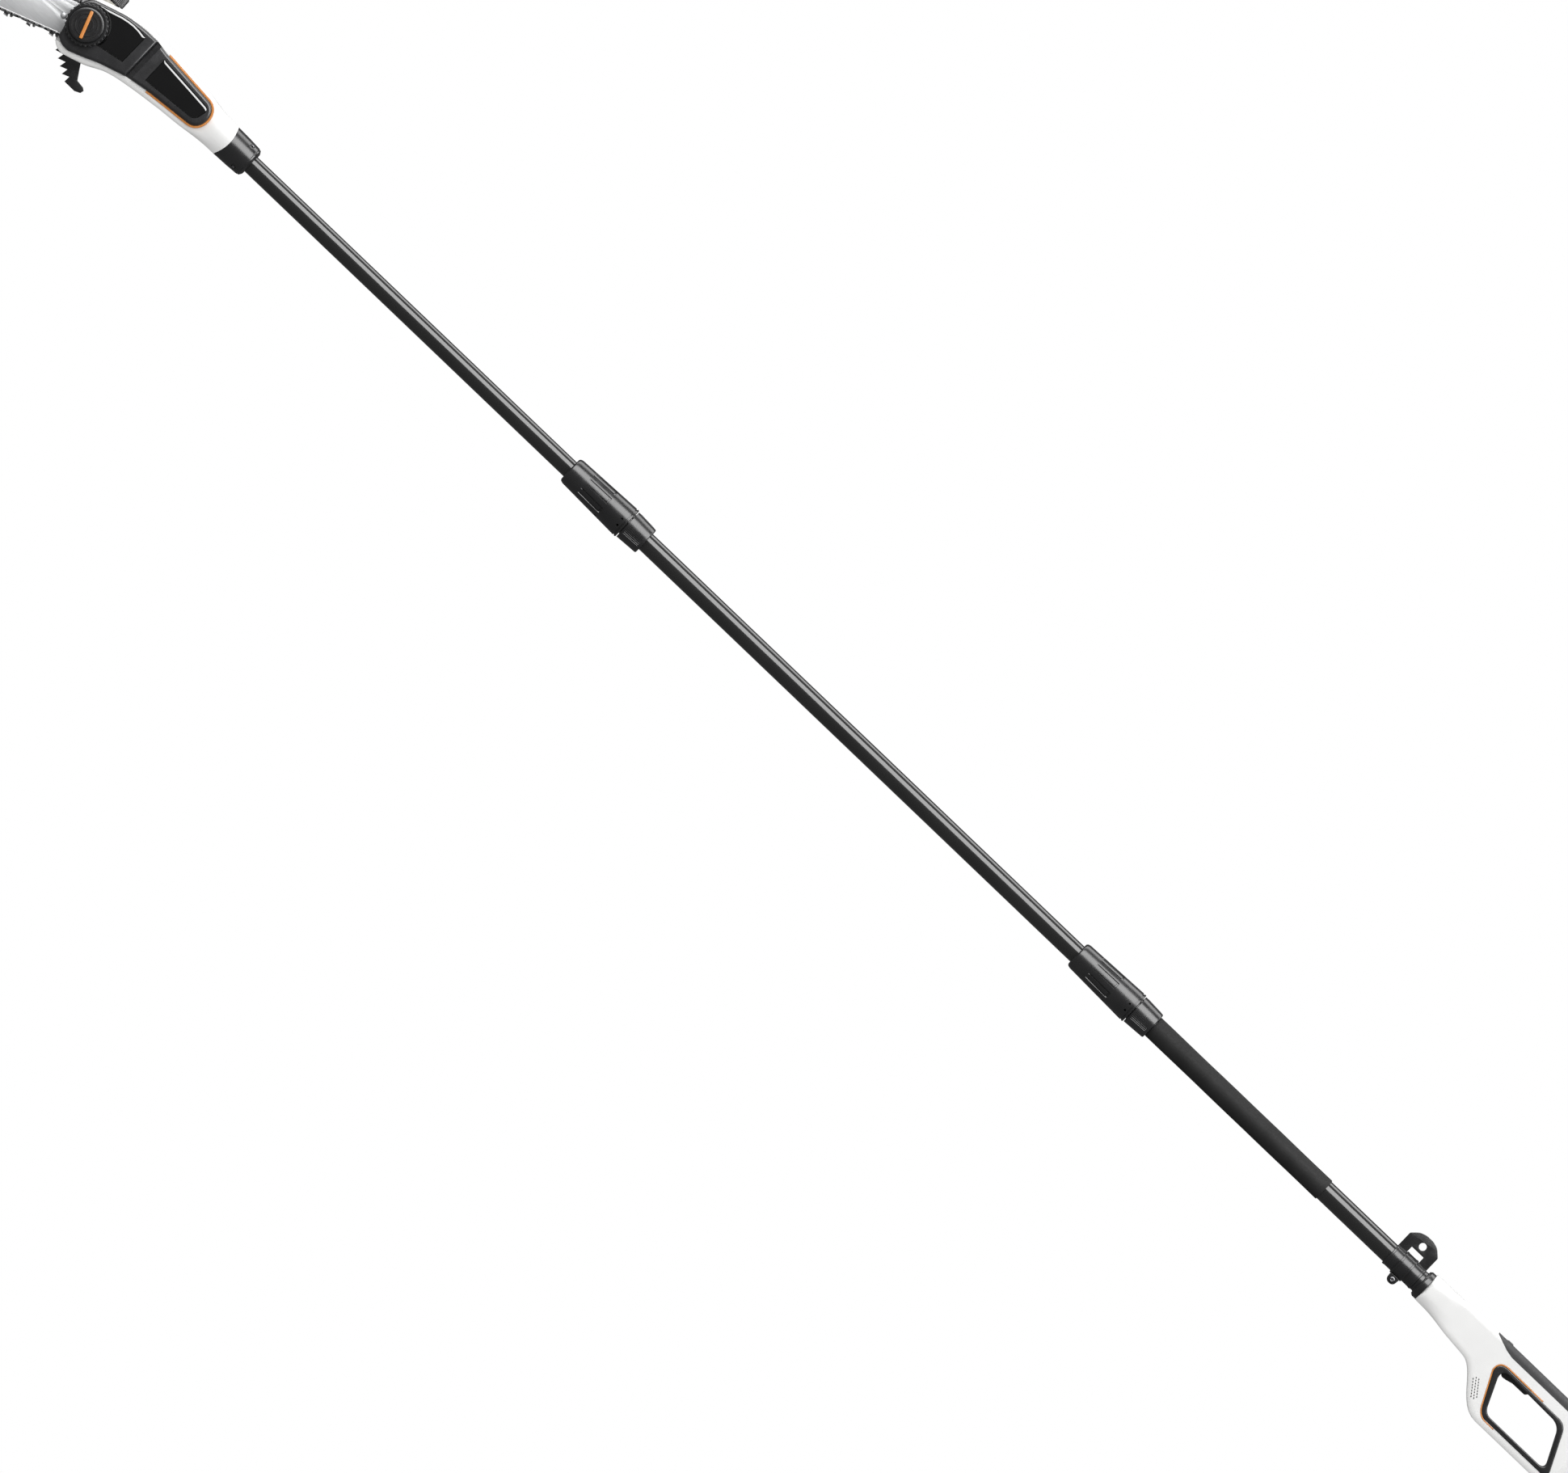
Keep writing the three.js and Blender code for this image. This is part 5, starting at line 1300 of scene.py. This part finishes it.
ring_back = cover_face - fit
ring_face = ring_back - 8
knob_back = ring_face - fit
knob_face = knob_back - 7.4
hub_radius = 11.6
ring_radius, knob_radius = 32, 26
stud_spot = (stud_x, 0, stud_z)
ring_line = [
    (ring_face, hub_radius + fit), (ring_face, knob_radius + 0.6), (ring_face - 0.4, knob_radius + 1.2),
    *shifted(ring_face, ring_radius, [(-0.4, -2.6), (0.8, -1.4)]),
    *shifted(ring_back, ring_radius, [(-0.8, -1.4), (0, -2)]),
    (ring_back, hub_radius + fit),
]
ring = turned("tension_ring_disc", ring_line, axis="y", centre=stud_spot, steps=112)
tooth = box("tooth", (ring_radius - 3, ring_radius), (ring_face + 0.2, ring_back - 0.3), (-1.9, 1.9), 0.6)
teeth = repeated("teeth", round_an_axis, tooth, Count=28, Turn=2 * math.pi, Axis=(0.0, 1.0, 0.0),
                 Centre=tuple(v * mm for v in stud_spot), Finish=black_nylon)
given(joined(ring, teeth), black_nylon, "tension_dial", "black_plastic", "tension_ring")

knob_line = [
    *shifted(knob_face, 0, [
        (0.9, 0), (0.9, 8.4), (0, 9), (0, 10.6), (0.8, 11.2), (0.8, 15.4), (0, 16), (0, 17.4), (0.8, 18),
        (0.8, 21), (0, 21.8)]),
    *shifted(knob_face, knob_radius, [(0, -2.2), (0.5, -0.9), (1.8, -0.2)]),
    *shifted(knob_back, knob_radius, [(-0.8, 0), (0, -0.6)]),
    (knob_back, hub_radius), (ring_back, hub_radius), (ring_back, 0),
]
knob = turned("lock_knob_body", knob_line, axis="y", centre=stud_spot, steps=112)
bar_angle = bar_tilt + math.pi / 2


def across_knob(half, thick):
    """A rounded bar across the knob's face."""
    c, s = math.cos(bar_angle), math.sin(bar_angle)
    corners = softened([(-half, -thick, 1.6), (half, -thick, 1.6), (half, thick, 1.6), (-half, thick, 1.6)])
    return [Vector((stud_x + p.x * c - p.y * s, stud_z + p.x * s + p.y * c)) for p in corners]


nut_room = turned("nut_room", [(knob_face + 2.5, 0), (knob_face + 2.5, 7.9), (0, 7.9), (0, 0)],
                  axis="y", centre=stud_spot, steps=6)
cut_from(knob, nut_room, plate("groove", [across_knob(21.8, 2.8)], knob_face - 1, knob_face + 1.2, 0.1))
given(knob, black_nylon, "knob", "black_plastic", "lock_knob")

handle = plate("folding_knob_handle", [across_knob(21.5, 2.5)], knob_face - 2.5, knob_face + 0.9, 0.8,
    steps=3)
given(handle, orange_nylon, "knob", "orange_plastic", "knob_handle")

# ---- Guide bar ----
# A ground steel bar with a slot for its stud, a tension pin near the head, and a sprocket held
# in its nose by rivets. Its flanks are ground along their length.


def ground_steel():
    """Ground carbon steel under a milky lacquer: pale satin grey with fine marks along the bar."""
    made, tree, shader, where = shaded("ground_bar_steel", Metallic=0.55)
    turn = node(tree, "ShaderNodeMapping", {"Vector": where, "Rotation": (0, bar_tilt, 0),
        "Scale": (0.04, 1, 1)})
    marks = speckle(tree, turn.outputs[0], 0.5, 3.0)
    tree.links.new(tinted(tree, marks, "#b6b7b8", "#c3c4c5"), shader.inputs["Base Color"])
    tree.links.new(between(tree, marks, 0.42, 0.52), shader.inputs["Roughness"])
    bumped(tree, shader, marks, 0.003)
    return made


bright_steel = ground_steel()
bar_front, bar_back = -17.75, -16.25
bar_half, bar_taper, nose_along, nose_radius = 25, 120, 268, 22
nose_steps = 36


def bar_line(edge):
    """The bar's outline moved out by a distance."""
    line = [(-22, -bar_half + 3 - edge), (0, -bar_half - edge), (bar_taper, -bar_half - edge)]
    for step in range(nose_steps + 1):
        t = -math.pi / 2 + math.pi * step / nose_steps
        line.append((nose_along + (nose_radius + edge) * math.cos(t), (nose_radius + edge) * math.sin(t)))
    return line + [(bar_taper, bar_half + edge), (0, bar_half + edge), (-22, bar_half - 3 + edge)]


def bar_hole(along, across, radius):
    """A round hole in the bar's own places."""
    return on_bar([(p[0], p[1]) for p in circle(along, across, radius)])


stud_slot = on_bar(softened([(-16.3, -4.3, 4.2), (18.3, -4.3, 4.2), (18.3, 4.3, 4.2), (-16.3, 4.3, 4.2)]))
guide = plate("ground_guide_bar", [
    on_bar(bar_line(0)), stud_slot, bar_hole(37.5, 0, 3.3), bar_hole(nose_along, 0, 12.3),
    bar_hole(-14, 17, 1.6), bar_hole(-14, -17, 1.6),
], bar_front, bar_back, 0.2, sharp=15)
rivets = []
for turn_at in (35, 105, 180, 255, 325):
    t = math.radians(turn_at)
    (spot,) = on_bar([(nose_along + 16 * math.cos(t), 16 * math.sin(t))])
    rivet_end = [(-0.25, 0), (-0.25, 1.3), (-0.05, 1.8), (0.2, 1.8)]
    rivets.append(turned("rivet", both_ends(bar_front, bar_back, rivet_end),
                         axis="y", centre=(spot.x, 0, spot.y), steps=24))
given(joined(guide, *rivets), bright_steel, "bar_set", "bright_steel", "guide_bar")

(spot,) = on_bar([(37.5, 0)])
pin = turned("tension_pin", [
    (bar_front - 3, 0), (bar_front - 3, 2.6), (bar_front - 2.6, 3.4), (bar_front - 1.2, 4.4),
    (bar_front - fit, 4.6), (bar_front - fit, 3), (bar_back + 1, 3), (bar_back + 1, 0)],
    axis="y", centre=(spot.x, 0, spot.y), steps=40)
given(pin, bright_steel, "bar_set", "bright_steel", "bar_pin")

(spot,) = on_bar([(nose_along, 0)])
nose_disc = turned("nose_disc", both_ends(bar_front, bar_back,
    [(0.2, 0), (0.2, 3), (0.35, 3.2), (0.35, 10)]),
                   axis="y", centre=(spot.x, 0, spot.y), steps=54)
nose_tooth = plate("tooth", [softened([(9, -1.7), (12, -0.7, 0.3), (12, 0.7, 0.3), (9, 1.7)])],
                   bar_front + 0.35, bar_back - 0.35, 0.1)
nose_teeth = repeated("teeth", round_an_axis, nose_tooth, Count=9, Turn=2 * math.pi, Axis=(0.0, 1.0, 0.0),
                      Centre=(spot.x * mm, 0.0, spot.y * mm), Finish=dark_steel)
given(joined(nose_disc, nose_teeth), dark_steel, "nose_wheel", "dark_steel", "bar_nose_sprocket")

# ---- Saw chain ----
# Low-profile chain: pairs of tie straps join drive links, and every other pair is a cutter, left
# and right in turn. Each cutter has a slanted top plate behind a rounded depth gauge.

chain_pitch = 9.32
drive_back, chain_wrap, chain_gap = 66, 15.2, 0.3
strap_near, strap_far, chain_half = 0.75, 1.9, 3.0


def chain_line(rise):
    """The chain's path above the bar's edge, round the nose and back to the drive sprocket."""
    wrap, rim = chain_wrap + rise, bar_half + chain_gap + rise
    lean = math.asin((rim - 3 - wrap) / drive_back)
    line = []
    for step in range(25):
        t = 1.5 * math.pi - lean - (math.pi - 2 * lean) * step / 24
        line.append((-drive_back + wrap * math.cos(t), wrap * math.sin(t)))
    line += [(0, rim), (bar_taper, rim)]
    nose = nose_radius + chain_gap + rise
    for step in range(37):
        t = math.pi / 2 - math.pi * step / 36
        line.append((nose_along + nose * math.cos(t), nose * math.sin(t)))
    return line + [(bar_taper, -rim), (0, -rim)]


def links_tree():
    """Copies a unit to every Step-th of Count even places on a closed path, in line with it."""
    tree, given_in, given_out = new_tree(
        "links_on_a_path", Path="Object", Count="Int", Step="Int", First="Int", Finish="Material"
    )
    path = node(tree, "GeometryNodeObjectInfo", {"Object": given_in["Path"]})
    resampled = {"Curve": path.outputs["Geometry"], "Count": given_in["Count"]}
    even = node(tree, "GeometryNodeResampleCurve", resampled)
    index = node(tree, "GeometryNodeInputIndex")
    phase = node(tree, "ShaderNodeMath", {0: index.outputs[0], 1: given_in["Step"]}, operation="MODULO")
    wanted = {0: phase.outputs[0], 1: given_in["First"], 2: 0.1}
    chosen = node(tree, "ShaderNodeMath", wanted, operation="COMPARE")
    way = node(tree, "GeometryNodeInputTangent")
    turn = node(tree, "FunctionNodeAlignRotationToVector", {"Vector": way.outputs[0]}, axis="X",
        pivot_axis="Z")
    return copied(tree, given_in, given_out, {
        "Points": even.outputs[0],
        "Selection": chosen.outputs[0],
        "Rotation": turn.outputs[0],
    })


def link_plate(name, points, near, far, edge=0.12):
    """A link's plate: an outline along and up from the chain's line, between two places across."""
    made = plate(name, [points], near, far, edge, steps=1)
    made.data.transform(Matrix.Rotation(-math.pi / 2, 4, "X"))
    return made


def strap_pair(name, skip=None):
    """Two waisted tie straps and the heads of their two rivets, one side left out on a cutter."""
    parts = []
    half = chain_pitch / 2
    waist = softened([
        (-half - 2.6, -1.2, 1.4), (-half + 2, -1.2), (0, -0.5, 3), (half - 2, -1.2),
        (half + 2.6, -1.2, 1.4),
        (half + 2.6, 3.2, 2), (half - 1, 3.2, 1), (0, 2.6, 3), (-half + 1, 3.2, 1), (-half - 2.6, 3.2, 2)])
    for side in (-1, 1):
        near, far = sorted((side * strap_near, side * strap_far))
        if side != skip:
            parts.append(link_plate("strap", waist, near, far))
        for end in (-half, half):
            head = [(-0.5, 0), (-0.5, 1.1), (-0.1, 1.7)]
            parts.append(turned("rivet", both_ends(-strap_far, strap_far, head),
                                axis="z", centre=(end, 1.0, 0), steps=16))
    return joined(*parts)


def cutter(side):
    """A cutter on one side of the chain: its strap, depth gauge, side plate and top plate."""
    near, far = sorted((side * strap_near, side * strap_far))
    body = link_plate("body", softened([
        (-7.2, -1.2, 1.4), (7.2, -1.2, 1.4), (7.4, 3.4, 1.2), (6.6, 6.4, 1.2), (3.6, 6.6, 0.8),
        (2.2, 3.2, 1.4),
        (0.4, 3.0, 0.8), (-0.4, 7.0), (-6.6, 5.8, 0.5), (-7.2, 2.4, 0.6)]), near, far)
    blade_near, blade_far = sorted((-side * 0.2, side * chain_half))
    top = link_plate("top", softened([(-6.8, 5.4, 0.3), (-6.9, 6.6, 0.3), (0.6, 8.3, 0.1),
        (-0.5, 6.9, 0.3)]),
                     blade_near, blade_far)
    side_near, side_far = sorted((side * (strap_far - 0.3), side * chain_half))
    flank = link_plate("flank", softened([(-6.2, 3.2, 0.5), (-6.8, 6.2, 0.3), (0.4, 8.1, 0.1),
        (-0.8, 3.4, 0.5)]),
                       side_near, side_far)
    return joined(strap_pair("pair", skip=side), body, top, flank)


path_data = bpy.data.curves.new("chain_path", "CURVE")
path_data.dimensions = "3D"
path_spline = path_data.splines.new("POLY")
chain_points = chain_line(1.6)
path_spline.points.add(len(chain_points) - 1)
path_spline.use_cyclic_u = True
for point, (x, y) in zip(path_spline.points, chain_points):
    point.co = (x * mm, y * mm, 0, 1)
path_piece = bpy.data.objects.new("chain_path", path_data)
scene.collection.objects.link(path_piece)
legs = zip(chain_points, chain_points[1:] + chain_points[:1])
chain_length = sum(math.dist(a, b) for a, b in legs)
link_count = 8 * round(chain_length / chain_pitch / 8)

drive_link = joined(
    link_plate("drive", softened([
        (-7.4, -1.2, 1.6), (7.4, -1.2, 1.6), (7.4, 2.6, 1.6), (3, 3.4, 1), (-3, 3.4, 1), (-7.4, 2.6, 1.6)]),
        -0.65, 0.65))
links_on_a_path = links_tree()
runs = []
units = ((drive_link, 2, 1), (strap_pair("straps"), 4, 2), (cutter(1), 8, 0), (cutter(-1), 8, 4))
for unit, every, first in units:
    runs.append(repeated("run", links_on_a_path, unit, Path=path_piece, Count=link_count, Step=every,
                         First=first, Finish=dark_steel))
chain = joined(*runs)
chain.name = "low_profile_saw_chain"
bpy.data.objects.remove(path_piece)
c, s = math.cos(bar_tilt), math.sin(bar_tilt)
chain.data.transform(Matrix((
    (-c, -s, 0, stud_x * mm),
    (0, 0, 1, -17 * mm),
    (-s, c, 0, stud_z * mm),
    (0, 0, 0, 1),
)))

# Chromed and ground chain steel: mid grey metal, brighter where it rubs.
chain_steel = surfaced("chromed_chain_steel", (3, "#737374", "#909091", 3.0), (3, 0.25, 0.4, 3.0),
    Metallic=1.0)
chain.data.materials.clear()
given(chain, chain_steel, "bar_set", "dark_steel", "saw_chain")

# ---- Branch hook ----
# A flat nylon hook with six spikes that catches a branch so that it can be pulled clear.

hook_piece = plate("spiked_branch_hook", [hook_line], hook_near, hook_far, 0.5)
given(hook_piece, black_nylon, "saw_head", "black_plastic", "branch_hook")

# ---- Oil cap ----
# A black nylon screw cap on the tank's neck, ribbed round its edge for the fingers.

cap_low, cap_high = (v.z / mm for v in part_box("oil_cap"))
cap_seat, cap_radius = cap_z, 16.8
cap_ribs = 36


def cap_relief(along, angle, radius):
    """The ribs round the cap's edge."""
    ribbed = cap_seat + 2 < along < cap_high - 3 and radius > 14
    return -0.45 + 0.45 * math.cos(math.radians(angle * cap_ribs)) if ribbed else 0


cap_line = [
    (cap_low, 0), (cap_low, 11.2), (cap_seat, 11.2),
    *shifted(cap_seat, cap_radius, [(0, -1), (1, 0), (1.9, 0), (2.4, 0)]),
    *shifted(cap_high, cap_radius, [
        (-4.2, -0.4), (-3, -1.4), (-1.2, -2.8), (-0.3, -4.6), (0, -6), (-0.8, -6.8)]),
    (cap_high - 0.8, 0),
]
cap = turned("ribbed_oil_cap", cap_line, axis="z", centre=(cap_x, 12, 0), steps=216, relief=cap_relief)
grip_bar = box("grip_bar", (cap_x - 9.6, cap_x + 9.6), (12 - 1.6, 12 + 1.6), (cap_high - 1.6, cap_high),
    0.5)
given(joined(cap, grip_bar), black_nylon, "filler_cap", "black_plastic", "oil_cap")

# ---- Inner parts ----
# The mechanism and the electrics keep their shapes: motor, gears and pump in the head, switch,
# board and cells in the handle. Each gets the finish of what it is made of.


def copper_winding():
    """Enamelled copper wire wound round the rotor: fine raised rings, with painted shade in the grooves
    between turns and a painted highlight on their crowns.
    """
    made, tree, shader, where = shaded("enamelled_copper_winding", Metallic=1.0, Coat_Weight=0.6)
    rings = node(tree, "ShaderNodeTexWave", {"Vector": where, "Scale": 1 / (1.2 * mm) / 20})
    # Painted shade and highlight: the colour goes dark in each groove and light on each raised turn,
    # following the bump.
    tree.links.new(tinted(tree, rings.outputs["Fac"], "#8f4c24", "#c9783f"), shader.inputs["Base Color"])
    tree.links.new(between(tree, speckle(tree, where, 2), 0.25, 0.4), shader.inputs["Roughness"])
    bumped(tree, shader, rings.outputs["Fac"], 0.1)
    return made


# Die-cast magnesium: dull light grey with a sandy skin.
magnesium = surfaced("die_cast_magnesium", (8, "#77787a", "#8b8c8e"), (3, 0.45, 0.6), (1.0, 0.04, 3.0),
    Metallic=1.0)
# Turned brass, a little tarnished.
brass = surfaced("turned_brass", (5, "#a8843f", "#c9a35a"), (2, 0.2, 0.35), Metallic=1.0)
# Glass-epoxy board under green solder mask, glossy where it lies flat.
solder_mask = surfaced("green_solder_mask", (2.5, "#17512f", "#24693f"), (4, 0.2, 0.4), IOR=1.52)
# PVC shrink wrap on steel cells: green, thin and glossy.
shrink_wrap = surfaced("pvc_shrink_wrap", (20, "#358260", "#43987a"), (6, 0.18, 0.3), (5, 0.03, 1.0),
    IOR=1.53)
# Blow-moulded polythene, milky and waxy, with light passing through it.
polythene = surfaced("milky_polythene", (25, "#d3d0c4", "#dedbd0"), (8, 0.35, 0.5), IOR=1.51,
                     Transmission_Weight=0.35)
grey_nylon = moulded_nylon("natural_grey_acetal", "#3a3a3c", "#444446", 0.3, 0.4)
kept = {
    grey_nylon: ["lower_collet", "upper_collet", "middle_tube_bush", "upper_tube_bush", "switch_body"],
    solder_mask: ["control_board"],
    shrink_wrap: ["battery_cells"],
    polythene: ["oil_tank"],
    magnesium: ["gear_case", "motor_can", "oil_pump"],
    dark_steel: ["bevel_gear", "bevel_pinion", "drive_sprocket"],
    bright_steel: ["trigger_spring", "bar_pad", "bar_stud", "shaft_bearing", "sprocket_shaft"],
    brass: ["knob_nut", "battery_terminals"],
    copper_winding(): ["motor_rotor"],
}
for finish, names in kept.items():
    for name in names:
        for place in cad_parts[name].material_slots:
            place.material = finish
